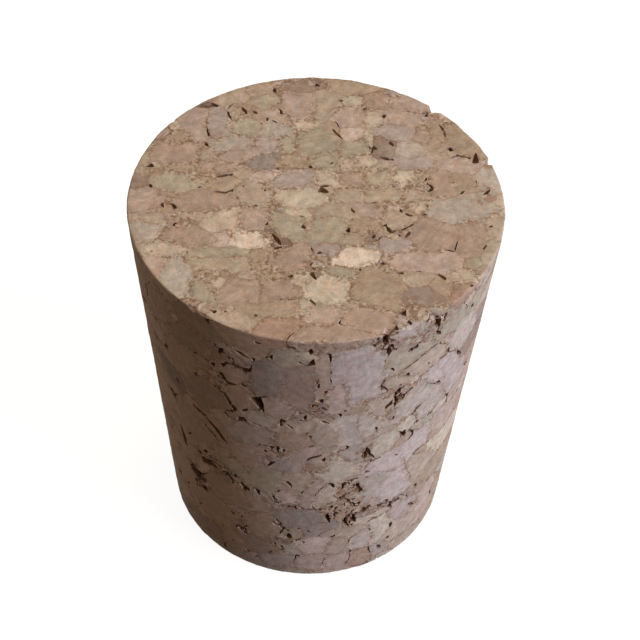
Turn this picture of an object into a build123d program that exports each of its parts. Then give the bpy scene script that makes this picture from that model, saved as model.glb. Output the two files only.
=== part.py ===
"""Tapered stopper of agglomerated cork.

One solid plug, ground from a block of glued cork granules. It stands on its narrow end, with the wide end
up. Its ground faces are plain but for the open pores where neighbouring granules never met, and for the
crumbs that the rim of the wide end has lost.

Millimetres and degrees. +Z runs from the narrow end to the wide end, and the origin is the centre of the
narrow end. Angles turn from +X towards +Y.
"""

from build123d import *

import math
import os

# Driving dimensions
WIDE_DIAMETER = 33.0
NARROW_DIAMETER = 27.0
LENGTH = 38.0
EDGE_BREAK = 0.25  # radius that grinding leaves on both end edges

# How far a pore or chip tool stands proud of the surface that it cuts
TOOL_OVERHANG = 1.0
PORE_FLOOR = 0.45  # size of a pore's floor, as a share of its mouth
PORE_WAIST = 0.62  # width at a pore's heel, as a share of its full width
PORE_SHOULDER = 0.33  # where a pore is widest, as a share of its half length
PORE_HEEL = 0.6  # where its heel is, likewise

# Bites out of the wide rim: angle, width along the rim, bite inwards, bite downwards
RIM_BITES = [
    (50.0, 1.5, 1.1, 1.3),
    (22.0, 1.2, 0.9, 1.6),
    (-68.0, 1.3, 0.9, 1.1),
    (-53.0, 1.5, 1.0, 1.2),
    (-127.0, 0.9, 0.6, 0.8),
]

# Crumbled stretch of the wide rim, as flats across its edge: angle, and reach inwards and down
WORN_FLATS = [
    (-50.0, 0.35),
    (-59.0, 0.5),
    (-70.0, 0.4),
]

# Pores in the wide face: share of the way to the rim, angle, length, width, depth, heading of the length
FACE_PORES = [
    (0.12, 76.0, 1.3, 0.8, 0.9, -23.0),
    (0.27, -50.0, 0.8, 0.8, 1.0, 70.0),
    (0.51, 54.0, 0.9, 0.7, 0.9, 100.0),
    (0.59, 49.0, 1.6, 0.4, 0.7, -51.0),
    (0.61, 11.0, 0.8, 0.6, 0.8, 80.0),
    (0.91, 166.0, 0.9, 0.7, 0.8, 100.0),
    (0.52, 162.0, 1.8, 0.4, 0.7, 15.0),
    (0.90, -60.0, 1.5, 1.0, 0.9, -70.0),
    (0.55, -91.0, 1.3, 0.6, 0.7, -60.0),
    (0.36, -122.0, 1.4, 0.5, 0.7, -55.0),
]

# Pores in the side: angle, share of the way up, length, width, depth, tilt of the length
SIDE_PORES = [
    (-106.0, 0.742, 2.1, 1.3, 1.1, -62.0),
    (-113.0, 0.853, 2.7, 0.5, 0.9, -4.0),
    (-110.0, 0.911, 2.4, 0.4, 0.8, -28.0),
    (-90.0, 0.947, 1.6, 0.6, 0.9, 88.0),
    (-117.0, 0.795, 1.8, 0.5, 0.8, -40.0),
    (-116.0, 0.711, 2.4, 0.4, 0.7, -64.0),
    (-126.0, 0.568, 5.8, 0.4, 0.8, -36.0),
    (-143.0, 0.413, 4.4, 0.5, 0.8, -80.0),
    (-129.0, 0.416, 2.0, 0.8, 0.9, -60.0),
    (-135.0, 0.300, 2.8, 1.1, 1.0, -70.0),
    (-97.0, 0.682, 1.8, 0.4, 0.7, -36.0),
    (-67.0, 0.797, 0.9, 0.6, 0.8, 50.0),
    (-56.0, 0.568, 1.1, 0.8, 0.9, -80.0),
    (-71.0, 0.250, 1.3, 0.9, 0.9, 60.0),
    (-68.0, 0.284, 1.8, 0.4, 0.8, 27.0),
    (-56.0, 0.266, 1.2, 0.5, 0.8, 84.0),
    (-80.0, 0.721, 0.9, 0.5, 0.7, -70.0),
    (-89.0, 0.218, 0.9, 0.5, 0.7, 20.0),
]

WIDE_RADIUS = WIDE_DIAMETER / 2
NARROW_RADIUS = NARROW_DIAMETER / 2
TAPER_ANGLE = math.degrees(math.atan2(WIDE_RADIUS - NARROW_RADIUS, LENGTH))


def plug():
    """The ground plug, a tapered cylinder with both end edges broken."""
    outline = Polyline((0, 0), (NARROW_RADIUS, 0), (WIDE_RADIUS, LENGTH), (0, LENGTH), close=True)
    body = revolve(Plane.XZ * make_face(outline), Axis.Z)
    return fillet(body.edges().filter_by(GeomType.CIRCLE), EDGE_BREAK)


def pore_outline(length, width):
    """A blunt lens along X, as two granules leave it where they part."""
    half, waist = length / 2, width * PORE_WAIST / 2
    corners = [
        (-half, 0),
        (-half * PORE_SHOULDER, -width / 2),
        (half * PORE_HEEL, -waist),
        (half, 0),
        (half * PORE_SHOULDER, width / 2),
        (-half * PORE_HEEL, waist),
    ]
    return make_face(Polyline(*corners, close=True))


def pore(surface, length, width, depth):
    """A pore's tool: it narrows as it goes in along the surface's -Z, and flares as it comes out."""
    flare = 1 + (1 - PORE_FLOOR) * TOOL_OVERHANG / depth
    outside = Pos(0, 0, TOOL_OVERHANG) * pore_outline(length * flare, width * flare)
    floor = Pos(0, 0, -depth) * pore_outline(length * PORE_FLOOR, width * PORE_FLOOR)
    return surface * loft([outside, floor], ruled=True)


def face_surface(share_out, angle, heading):
    """A plane on the wide face, with X along the heading and Z outwards."""
    turn, head = math.radians(angle), math.radians(heading)
    distance = WIDE_RADIUS * share_out
    centre = (distance * math.cos(turn), distance * math.sin(turn), LENGTH)
    along = (math.cos(head), math.sin(head), 0)
    return Plane(origin=centre, x_dir=along, z_dir=(0, 0, 1))


def side_surface(angle, share_up, tilt):
    """A plane that touches the side, with X tilted up from the way round and Z outwards."""
    turn, lean = math.radians(angle), math.radians(TAPER_ANGLE)
    outwards = Vector(math.cos(turn) * math.cos(lean), math.sin(turn) * math.cos(lean), -math.sin(lean))
    around = Vector(-math.sin(turn), math.cos(turn), 0)
    upwards = outwards.cross(around)
    rise = math.radians(tilt)
    radius = NARROW_RADIUS + (WIDE_RADIUS - NARROW_RADIUS) * share_up
    centre = (radius * math.cos(turn), radius * math.sin(turn), LENGTH * share_up)
    return Plane(origin=centre, x_dir=around * math.cos(rise) + upwards * math.sin(rise), z_dir=outwards)


def rim_bite(angle, width, inwards, downwards):
    """A V-shaped bite's tool: a wedge whose point lies inside the rim and whose mouth is outside it."""
    half_mouth = width / 2 * (1 + TOOL_OVERHANG / inwards)
    outline = Polyline((-inwards, 0), (TOOL_OVERHANG, -half_mouth), (TOOL_OVERHANG, half_mouth), close=True)
    wedge = extrude(make_face(outline), amount=downwards + TOOL_OVERHANG, dir=(0, 0, -1))
    at_rim = Pos(WIDE_RADIUS, 0, LENGTH + TOOL_OVERHANG) * wedge
    return Rot(0, 0, angle) * at_rim


def worn_flat(angle, reach):
    """The tool for one worn flat: a block laid across the wide edge at a slant."""
    length = 3 * math.sqrt(2 * WIDE_RADIUS * reach)  # the rim curves away before the block's ends
    sits_outside = (Align.MIN, Align.CENTER, Align.CENTER)
    block = Box(TOOL_OVERHANG, length, 4 * TOOL_OVERHANG, align=sits_outside)
    slanted = Pos(WIDE_RADIUS - reach / 2, 0, LENGTH - reach / 2) * (Rot(0, -45, 0) * block)
    return Rot(0, 0, angle) * slanted


def stopper():
    """The plug less its pores, the bites out of its rim and the rim's crumbled stretch."""
    tools = [pore(face_surface(out, angle, heading), *size) for out, angle, *size, heading in FACE_PORES]
    tools += [pore(side_surface(angle, up, tilt), *size) for angle, up, *size, tilt in SIDE_PORES]
    tools += [rim_bite(*bite) for bite in RIM_BITES]
    tools += [worn_flat(*flat) for flat in WORN_FLATS]
    body = plug()
    for tool in tools:
        body = body - tool
    return body


os.makedirs("parts", exist_ok=True)
export_step(stopper(), "parts/cork_stopper.step")
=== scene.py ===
"""Looks of a tapered stopper of agglomerated cork.

The stopper is one piece, ground from a block of glued cork granules. Its surface is made here as the real
one comes about: a packing of flattened granules fills the block, the plug's ground surface cuts through
them, and each granule keeps its own shade and growth lines. Where granules never met, the cut leaves open
seams and pores, and crumbs fill some of the gaps.

The mesh is worked out in millimetres in the frame's own axes and put into metres when Blender gets it.
"""

import math

import bpy
import numpy as np
from mathutils import Matrix, Vector, geometry, noise


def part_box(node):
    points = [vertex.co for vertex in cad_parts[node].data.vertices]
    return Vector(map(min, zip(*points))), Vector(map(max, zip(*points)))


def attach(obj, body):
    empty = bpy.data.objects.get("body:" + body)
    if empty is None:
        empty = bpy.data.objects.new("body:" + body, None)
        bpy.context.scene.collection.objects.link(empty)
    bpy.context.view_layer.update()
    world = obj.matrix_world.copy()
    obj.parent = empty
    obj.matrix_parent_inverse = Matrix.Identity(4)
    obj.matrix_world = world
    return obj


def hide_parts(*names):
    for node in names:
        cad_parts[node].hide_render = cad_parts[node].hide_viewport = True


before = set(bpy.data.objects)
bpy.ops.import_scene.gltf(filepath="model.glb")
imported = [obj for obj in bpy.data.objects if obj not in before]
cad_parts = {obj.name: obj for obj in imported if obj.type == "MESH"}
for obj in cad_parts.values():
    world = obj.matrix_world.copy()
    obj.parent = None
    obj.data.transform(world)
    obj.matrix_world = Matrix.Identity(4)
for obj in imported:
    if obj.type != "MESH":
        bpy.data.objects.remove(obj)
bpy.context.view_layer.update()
NODE = "cork_stopper"
MM = 0.001

low_corner, high_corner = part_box(NODE)
LENGTH = high_corner.z / MM
WIDE_RADIUS = (high_corner.x - low_corner.x) / 2 / MM
NARROW_ACROSS, WIDE_ACROSS = 27, 33  # the two ends' diameters, for the taper
NARROW_RADIUS = WIDE_RADIUS * NARROW_ACROSS / WIDE_ACROSS
EDGE_BREAK = 0.22
SEED = 7

# ---------------------------------------------------------------- shades

# Each shade as it looks in plain light, as sRGB bytes; the haze shade also holds a painted highlight
SHADES = {
    "ivory": (205, 182, 158),
    "cream": (186, 168, 140),
    "sand": (184, 160, 133),
    "straw": (176, 152, 120),
    "olive": (164, 147, 119),
    "ash": (172, 155, 137),
    "tan": (173, 147, 121),
    "ochre": (168, 138, 106),
    "rose": (178, 147, 128),
    "blush": (192, 162, 146),
    "clay": (170, 136, 112),
    "mauve": (167, 145, 133),
    # haze: pale mauve for big granules on the side facing the window lamp, partly their own pale shade,
    # partly a painted highlight
    "haze_and_highlight": (178, 158, 147),
    "slate": (146, 127, 113),
    "cocoa": (150, 120, 101),
    "rust": (174, 128, 100),
    "umber": (124, 94, 74),
}

# Shades that granules get where none is chosen, with how often each comes
COMMON_SHADES = [
    ("tan", 20), ("olive", 9), ("ochre", 11), ("rose", 17), ("clay", 13), ("mauve", 7), ("ash", 8),
    ("sand", 7), ("cream", 4), ("blush", 2), ("cocoa", 5), ("slate", 2), ("rust", 2), ("umber", 1),
]

# Granules of the wide face: x, y, length, width, heading of the length, shade
FACE_GRANULES = [
    (-11.3, 9.0, 4.4, 2.4, 95, "rose"),
    (-9.2, 9.3, 3.8, 1.8, 98, "mauve"),
    (-12.8, 5.6, 4.6, 2.6, 10, "clay"),
    (-13.2, 9.0, 1.8, 1.2, 110, "cream"),
    (-12.4, 7.6, 2.6, 1.6, 20, "ochre"),
    (-10.4, 11.9, 2.6, 0.7, 8, "umber"),
    (-8.3, 13.2, 3.6, 2.0, 25, "tan"),
    (-11.0, 12.3, 2.2, 1.0, 40, "mauve"),
    (-5.4, 14.6, 2.6, 2.0, 25, "clay"),
    (-5.0, 13.0, 2.0, 1.8, 0, "olive"),
    (-2.2, 14.8, 2.8, 1.6, 0, "cocoa"),
    (-2.3, 12.4, 3.4, 3.0, 70, "rose"),
    (-7.6, 11.2, 2.8, 1.3, 100, "tan"),
    (-5.5, 10.7, 2.0, 1.2, 120, "clay"),
    (-3.3, 10.4, 1.6, 1.4, 90, "tan"),
    (-6.4, 9.2, 2.4, 2.0, 0, "olive"),
    (-4.0, 8.8, 2.8, 2.2, 10, "ash"),
    (-7.7, 7.0, 3.6, 1.8, 5, "ash"),
    (-2.7, 7.2, 1.6, 2.8, 0, "olive"),
    (-4.8, 7.0, 2.2, 2.2, 0, "mauve"),
    (-7.2, 5.3, 3.8, 1.4, 12, "rose"),
    (-9.7, 5.3, 1.6, 1.4, 0, "tan"),
    (-4.6, 4.6, 3.2, 2.0, 10, "slate"),
    (-2.4, 5.0, 2.6, 1.8, 0, "ochre"),
    (-0.1, 7.1, 3.4, 3.6, 60, "olive"),
    (-1.2, 9.5, 1.7, 1.4, 0, "sand"),
    (-9.0, 3.8, 3.0, 1.4, 12, "clay"),
    (-11.7, 3.7, 3.0, 1.0, 8, "ochre"),
    (-11.9, 1.9, 4.0, 2.2, 8, "olive"),
    (-15.6, 1.6, 1.6, 1.2, 90, "cocoa"),
    (-15.3, 5.8, 1.4, 3.0, 0, "olive"),
    (-14.9, -0.9, 2.8, 2.6, 0, "rose"),
    (-8.2, 1.7, 2.8, 1.6, 10, "ochre"),
    (-9.8, -0.7, 4.8, 2.4, 5, "clay"),
    (-6.6, 3.2, 1.3, 1.6, 0, "tan"),
    (-4.4, 3.0, 2.2, 1.3, 20, "blush"),
    (-5.3, 0.6, 2.8, 2.4, 0, "tan"),
    (-2.1, 2.4, 3.4, 2.0, 10, "mauve"),
    (-1.9, 0.3, 3.9, 2.1, 5, "cream"),
    (0.9, 2.8, 2.2, 1.4, -40, "sand"),
    (3.3, 15.0, 4.4, 1.6, -8, "ochre"),
    (0.7, 12.8, 2.2, 3.2, 0, "tan"),
    (3.0, 13.0, 1.5, 1.5, 0, "cream"),
    (5.2, 13.4, 2.4, 2.2, 0, "clay"),
    (8.0, 13.0, 3.6, 2.0, -25, "rose"),
    (7.9, 11.1, 3.8, 2.3, 0, "rose"),
    (2.8, 11.0, 2.8, 2.6, 0, "rose"),
    (4.9, 11.0, 1.9, 1.9, 0, "sand"),
    (3.0, 8.9, 2.0, 1.8, 0, "blush"),
    (7.0, 9.2, 3.6, 1.9, 5, "mauve"),
    (9.4, 9.0, 1.6, 2.6, 0, "clay"),
    (4.5, 8.2, 0.8, 2.6, 0, "cream"),
    (5.9, 7.2, 1.9, 2.6, 10, "cocoa"),
    (3.1, 6.8, 2.4, 2.2, 0, "olive"),
    (12.9, 8.4, 4.4, 2.6, -55, "ochre"),
    (10.5, 8.8, 1.7, 4.2, 5, "ochre"),
    (8.3, 6.9, 3.0, 1.7, 5, "ash"),
    (11.0, 6.4, 2.6, 1.2, -5, "tan"),
    (12.4, 5.1, 4.2, 1.7, 0, "rose"),
    (8.3, 5.1, 3.6, 1.7, 0, "mauve"),
    (10.9, 2.8, 2.3, 3.4, 0, "clay"),
    (12.9, 3.0, 2.0, 2.2, 0, "ochre"),
    (15.1, 3.2, 1.8, 3.6, 8, "ash"),
    (15.1, 5.1, 0.7, 1.0, 0, "rust"),
    (0.9, 5.3, 2.4, 2.2, 0, "olive"),
    (2.8, 4.8, 2.2, 1.6, -15, "tan"),
    (4.2, 5.2, 2.2, 1.1, -32, "sand"),
    (5.4, 3.2, 2.6, 2.4, 0, "straw"),
    (7.7, 3.1, 2.4, 2.4, 20, "cream"),
    (3.0, 2.8, 2.0, 1.8, 0, "clay"),
    (6.0, 1.1, 3.6, 1.8, 0, "straw"),
    (8.6, 1.0, 2.0, 1.8, 0, "tan"),
    (3.0, 0.9, 2.4, 1.6, 0, "tan"),
    (12.4, -0.6, 5.4, 2.6, 0, "ash"),
    (1.7, -1.2, 3.2, 1.6, 0, "tan"),
    (4.6, -1.1, 2.6, 1.6, -15, "rose"),
    (7.1, -1.8, 2.4, 2.2, 0, "tan"),
    (8.8, -0.2, 1.6, 1.6, 0, "sand"),
    (1.2, -3.6, 2.4, 3.0, 0, "olive"),
    (4.4, -3.0, 2.6, 1.9, 0, "ochre"),
    (10.2, -3.7, 4.2, 3.4, 0, "clay"),
    (13.4, -4.0, 2.8, 4.2, 5, "clay"),
    (15.4, -2.4, 1.6, 2.8, 0, "tan"),
    (15.0, -5.6, 1.8, 3.2, -20, "olive"),
    (7.2, -5.0, 2.4, 1.3, 10, "mauve"),
    (9.4, -7.0, 6.6, 2.3, 4, "rose"),
    (13.3, -7.0, 2.0, 1.6, 30, "olive"),
    (3.6, -6.9, 3.4, 1.8, 8, "ivory"),
    (4.6, -5.4, 1.2, 0.8, 0, "ash"),
    (1.0, -6.0, 1.8, 1.8, 0, "mauve"),
    (1.2, -10.2, 4.0, 3.6, 100, "cream"),
    (2.2, -8.6, 3.0, 1.6, -10, "olive"),
    (5.3, -10.3, 4.0, 4.8, 0, "ochre"),
    (8.6, -8.9, 2.8, 1.6, -5, "tan"),
    (8.9, -11.0, 3.2, 2.2, 20, "cocoa"),
    (12.2, -10.4, 2.4, 1.6, 45, "rust"),
    (12.5, -8.4, 2.2, 1.5, 25, "sand"),
    (10.6, -9.8, 1.8, 1.4, -60, "ochre"),
    (14.7, -8.3, 1.6, 2.2, 20, "rose"),
    (0.9, -13.3, 3.2, 2.0, 0, "rose"),
    (4.6, -13.6, 4.4, 2.4, -5, "clay"),
    (2.9, -12.3, 1.8, 1.2, 45, "olive"),
    (1.6, -15.5, 5.0, 1.8, 5, "clay"),
    (7.6, -14.2, 2.0, 1.8, 0, "mauve"),
    (9.6, -13.2, 1.6, 1.8, 0, "ash"),
    (-14.7, -4.3, 2.6, 2.0, 15, "ash"),
    (-14.6, -2.8, 2.6, 1.3, 5, "tan"),
    (-11.2, -4.8, 3.0, 2.2, 15, "clay"),
    (-10.6, -2.7, 2.4, 1.3, -5, "tan"),
    (-8.1, -2.7, 3.4, 2.4, 20, "sand"),
    (-5.3, -2.7, 2.4, 2.4, 0, "rose"),
    (-7.8, -5.1, 1.6, 1.5, 80, "blush"),
    (-5.6, -5.0, 3.0, 1.8, 8, "ivory"),
    (-12.6, -6.5, 3.4, 1.6, 5, "sand"),
    (-13.3, -8.4, 2.0, 2.0, -40, "rose"),
    (-11.5, -9.6, 4.2, 2.2, -65, "ash"),
    (-8.0, -6.7, 5.0, 1.2, 2, "olive"),
    (-7.6, -8.0, 5.2, 1.5, 4, "straw"),
    (-4.7, -7.0, 2.0, 1.6, 30, "ochre"),
    (-2.2, -7.0, 3.2, 2.2, 0, "clay"),
    (-2.4, -3.0, 2.8, 2.6, 0, "olive"),
    (-1.6, -1.7, 2.0, 0.9, -20, "cream"),
    (-8.0, -10.2, 2.0, 1.4, 0, "sand"),
    (-6.3, -10.9, 3.8, 2.4, 5, "clay"),
    (-2.9, -10.6, 3.4, 2.2, 5, "clay"),
    (-9.2, -11.2, 2.0, 2.6, 0, "olive"),
    (-1.3, -9.8, 1.8, 1.2, 30, "sand"),
    (-3.2, -13.0, 5.4, 1.6, 12, "ochre"),
    (-2.9, -14.9, 3.4, 2.0, 10, "rust"),
    (-6.4, -14.1, 3.4, 1.6, -15, "tan"),
    (-0.6, -12.6, 1.6, 1.8, 0, "sand"),
]

# Granules of the side: angle, height, length, width, tilt of the length, shade
SIDE_GRANULES = [
    # the haze granules lie where the window lamp falls, and their shade holds a painted highlight
    (-76, 33.0, 6.6, 4.4, 88, "haze_and_highlight"),
    (-81, 30.5, 5.0, 1.5, 86, "rose"),
    (-86, 33.0, 4.6, 1.2, 88, "clay"),
    (-94, 31.6, 4.8, 2.6, 84, "cocoa"),
    (-91.5, 36.0, 1.5, 1.4, 0, "cream"),
    (-96, 35.6, 2.6, 2.0, 10, "olive"),
    (-103, 31.6, 4.4, 3.0, 80, "slate"),
    (-113, 36.6, 4.2, 2.2, -10, "clay"),
    (-125, 36.4, 4.4, 2.4, -15, "cocoa"),
    (-112, 33.6, 2.6, 1.2, -12, "mauve"),
    (-114, 31.2, 3.2, 1.6, 10, "rose"),
    (-112, 28.4, 3.0, 2.2, 60, "clay"),
    (-106, 25.8, 2.6, 1.8, 10, "ash"),
    (-101, 28.5, 2.4, 2.6, 60, "rose"),
    (-109, 23.2, 4.2, 2.4, 10, "mauve"),
    (-125, 26.5, 4.2, 3.2, 20, "cocoa"),
    (-136, 29.5, 4.2, 3.0, 45, "ochre"),
    (-130, 33.0, 4.0, 2.4, 30, "cocoa"),
    (-146, 34.0, 4.5, 3.0, 45, "clay"),
    (-124, 21.8, 3.4, 2.2, -36, "clay"),
    (-114, 19.6, 3.6, 2.4, -30, "rose"),
    (-134, 20.2, 5.0, 3.2, -40, "clay"),
    (-95, 23.0, 3.0, 2.8, 40, "clay"),
    (-91, 21.6, 2.6, 2.2, 0, "rose"),
    (-97.5, 19.5, 3.2, 2.0, 10, "mauve"),
    (-93, 16.6, 3.6, 2.6, 70, "tan"),
    (-106, 16.4, 3.4, 3.0, 60, "olive"),
    (-118, 16.6, 3.0, 2.0, 10, "ash"),
    (-120, 11.6, 5.2, 3.0, 0, "clay"),
    (-133, 13.0, 2.0, 1.0, 70, "blush"),
    (-132, 7.2, 5.6, 4.0, 10, "ochre"),
    (-146, 9.5, 4.0, 4.0, 0, "ochre"),
    (-88, 15.2, 4.4, 1.6, 80, "rose"),
    (-84, 14.4, 3.0, 1.6, 70, "sand"),
    (-98, 14.0, 2.2, 1.8, 60, "blush"),
    (-91, 10.4, 4.4, 3.2, -10, "slate"),
    (-95, 7.6, 2.0, 1.6, 20, "olive"),
    (-86, 8.8, 3.0, 2.0, 30, "slate"),
    (-110, 11.8, 2.4, 2.8, 80, "rose"),
    (-107, 8.0, 4.2, 2.8, 70, "clay"),
    (-109, 4.4, 4.4, 2.6, 20, "cocoa"),
    (-100, 2.4, 3.2, 2.6, 20, "mauve"),
    (-95, 4.6, 1.8, 1.6, 0, "ash"),
    (-120, 3.4, 3.4, 2.4, 40, "clay"),
    (-134, 2.4, 4.6, 2.4, 10, "cocoa"),
    (-85, 5.6, 3.4, 2.6, 20, "blush"),
    (-87, 2.4, 3.4, 2.6, 0, "rose"),
    (-78, 5.4, 2.8, 2.6, 20, "tan"),
    (-77, 2.2, 2.8, 2.2, 0, "rose"),
    (-67, 2.0, 2.6, 2.6, 70, "rust"),
    (-66, 5.8, 3.0, 3.2, 80, "ash"),
    (-60, 6.0, 2.6, 3.6, 10, "cream"),
    (-79, 19.0, 4.4, 3.2, 0, "cream"),
    (-73.5, 20.4, 2.4, 3.2, 30, "ash"),
    (-84, 24.4, 2.6, 2.8, 80, "tan"),
    (-77, 25.0, 2.8, 4.0, 10, "ash"),
    (-71, 25.2, 2.6, 3.6, 10, "ash"),
    (-85, 20.0, 1.8, 2.6, 10, "tan"),
    (-66, 21.0, 3.4, 2.4, 40, "cream"),
    (-66, 27.2, 2.8, 2.6, 70, "tan"),
    (-62, 26.0, 1.4, 2.6, 10, "clay"),
    (-56, 26.4, 4.4, 3.6, 50, "ash"),
    (-55, 23.2, 2.0, 2.0, 10, "cream"),
    (-60, 33.6, 4.4, 3.2, 0, "olive"),
    (-62, 30.6, 2.6, 1.4, -20, "tan"),
    (-52, 31.6, 4.6, 3.0, -30, "tan"),
    (-59, 28.8, 1.4, 1.4, 40, "rust"),
    (-44, 29.0, 4.2, 3.0, -30, "haze_and_highlight"),
    (-46, 24.4, 3.6, 3.0, 20, "ash"),
    (-44, 35.4, 3.6, 3.0, 0, "olive"),
    (-34, 31.5, 4.0, 3.4, -40, "ash"),
    (-34, 25.5, 4.2, 3.2, -30, "haze_and_highlight"),
    (-50, 18.8, 4.0, 3.0, 20, "haze_and_highlight"),
    (-60, 18.0, 4.2, 2.8, 10, "haze_and_highlight"),
    (-66, 14.6, 3.4, 3.2, 20, "ash"),
    (-56, 13.6, 4.4, 3.6, -20, "haze_and_highlight"),
    (-44, 14.0, 4.2, 3.6, -30, "tan"),
    (-34, 19.0, 4.4, 3.6, -30, "rose"),
    (-46, 7.4, 3.6, 2.6, -30, "mauve"),
    (-48, 4.2, 3.8, 3.0, 0, "tan"),
    (-36, 6.5, 3.6, 3.6, -20, "rose"),
    (-58, 2.0, 2.6, 1.8, -50, "mauve"),
    (-64, 9.3, 3.0, 1.2, 5, "sand"),
    (-72, 7.0, 2.6, 1.6, 30, "tan"),
]

# Crumb-filled gaps of the wide face: x, y, length, width, heading, shade
FACE_CRUMBS = [
    (-3.4, -5.2, 3.4, 1.4, -60, "umber"),
    (-3.0, -8.6, 3.0, 1.0, 0, "ochre"),
    (-8.2, -9.2, 2.6, 1.0, 5, "ochre"),
    (0.2, -8.4, 2.2, 1.4, -70, "cocoa"),
    (5.0, -4.4, 1.6, 1.2, 60, "slate"),
    (6.0, -7.0, 0.9, 1.6, 0, "ochre"),
    (0.4, -6.6, 1.4, 1.0, -30, "cocoa"),
    (-13.0, -1.6, 1.8, 1.2, -50, "ochre"),
    (-10.6, -3.2, 3.2, 0.8, 0, "clay"),
    (-3.6, -0.9, 2.2, 1.0, -30, "tan"),
    (-0.4, -2.6, 0.9, 2.8, 10, "clay"),
    (-9.6, 2.7, 3.0, 0.9, 10, "ochre"),
    (-14.6, 3.4, 1.6, 1.8, 60, "tan"),
    (-6.6, 11.3, 2.6, 1.2, -40, "clay"),
    (-0.2, 15.2, 1.2, 1.4, 90, "cocoa"),
    (-3.0, 3.9, 1.6, 0.8, -20, "ochre"),
    (6.0, -0.4, 3.6, 0.8, 0, "ochre"),
    (8.0, 0.0, 0.8, 1.6, 40, "ochre"),
    (6.6, 4.0, 3.4, 1.2, 0, "straw"),
    (8.8, 3.2, 1.2, 2.6, 20, "straw"),
    (7.0, 2.2, 3.0, 0.8, 0, "tan"),
    (11.2, 7.4, 0.8, 1.8, 0, "ochre"),
    (14.6, 1.2, 1.8, 1.6, 50, "ash"),
    (8.6, -12.6, 2.6, 1.6, -40, "cocoa"),
    (7.4, -15.2, 1.8, 1.4, 10, "mauve"),
    (-8.6, -13.2, 3.4, 0.9, -15, "clay"),
    (1.2, -12.3, 1.8, 0.7, -10, "olive"),
    (10.9, -11.4, 1.2, 1.2, 0, "ochre"),
    (-9.0, -5.4, 1.6, 0.8, 40, "tan"),
    (7.4, -3.6, 1.6, 0.9, 0, "cocoa"),
]

# Crumb-filled gaps of the side: angle, height, length, width, tilt, shade
SIDE_CRUMBS = [
    (-74, 13.6, 4.4, 2.4, 80, "rust"),
    (-74, 10.0, 3.4, 2.2, 60, "rust"),
    (-81, 11.4, 2.4, 1.4, 80, "cocoa"),
    (-64, 10.4, 4.4, 1.2, 2, "slate"),
    (-98, 9.0, 3.0, 1.2, -50, "slate"),
    (-99, 6.4, 2.6, 1.0, 70, "olive"),
    (-114, 7.2, 3.0, 1.0, -80, "cocoa"),
    (-116, 5.0, 2.4, 1.4, 70, "rust"),
    (-116, 33.2, 4.0, 1.4, 10, "cocoa"),
    (-119, 29.6, 1.8, 3.0, 0, "cocoa"),
    (-86, 27.6, 2.8, 1.4, -60, "cocoa"),
    (-62, 28.6, 2.6, 1.6, 60, "rust"),
    (-57, 29.0, 1.6, 1.2, 0, "rust"),
    (-68, 36.6, 3.0, 2.0, -50, "cocoa"),
    (-56, 35.4, 3.0, 1.8, 30, "slate"),
    (-50, 36.6, 1.6, 2.6, 0, "slate"),
    (-127, 15.4, 3.4, 1.6, 10, "cocoa"),
    (-118, 14.6, 2.4, 1.4, -40, "slate"),
    (-136, 11.0, 3.0, 1.8, -60, "umber"),
    (-101, 21.0, 2.6, 0.9, 60, "cocoa"),
    (-70, 20.0, 1.4, 3.2, 0, "slate"),
    (-102, 12.8, 1.2, 2.4, 0, "ash"),
    (-87, 19.0, 2.2, 0.9, 0, "rust"),
    (-48, 10.2, 3.0, 1.0, 0, "slate"),
    (-42, 7.0, 3.4, 0.8, -40, "slate"),
    (-80, 37.4, 8.0, 0.5, 0, "clay"),
]

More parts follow.
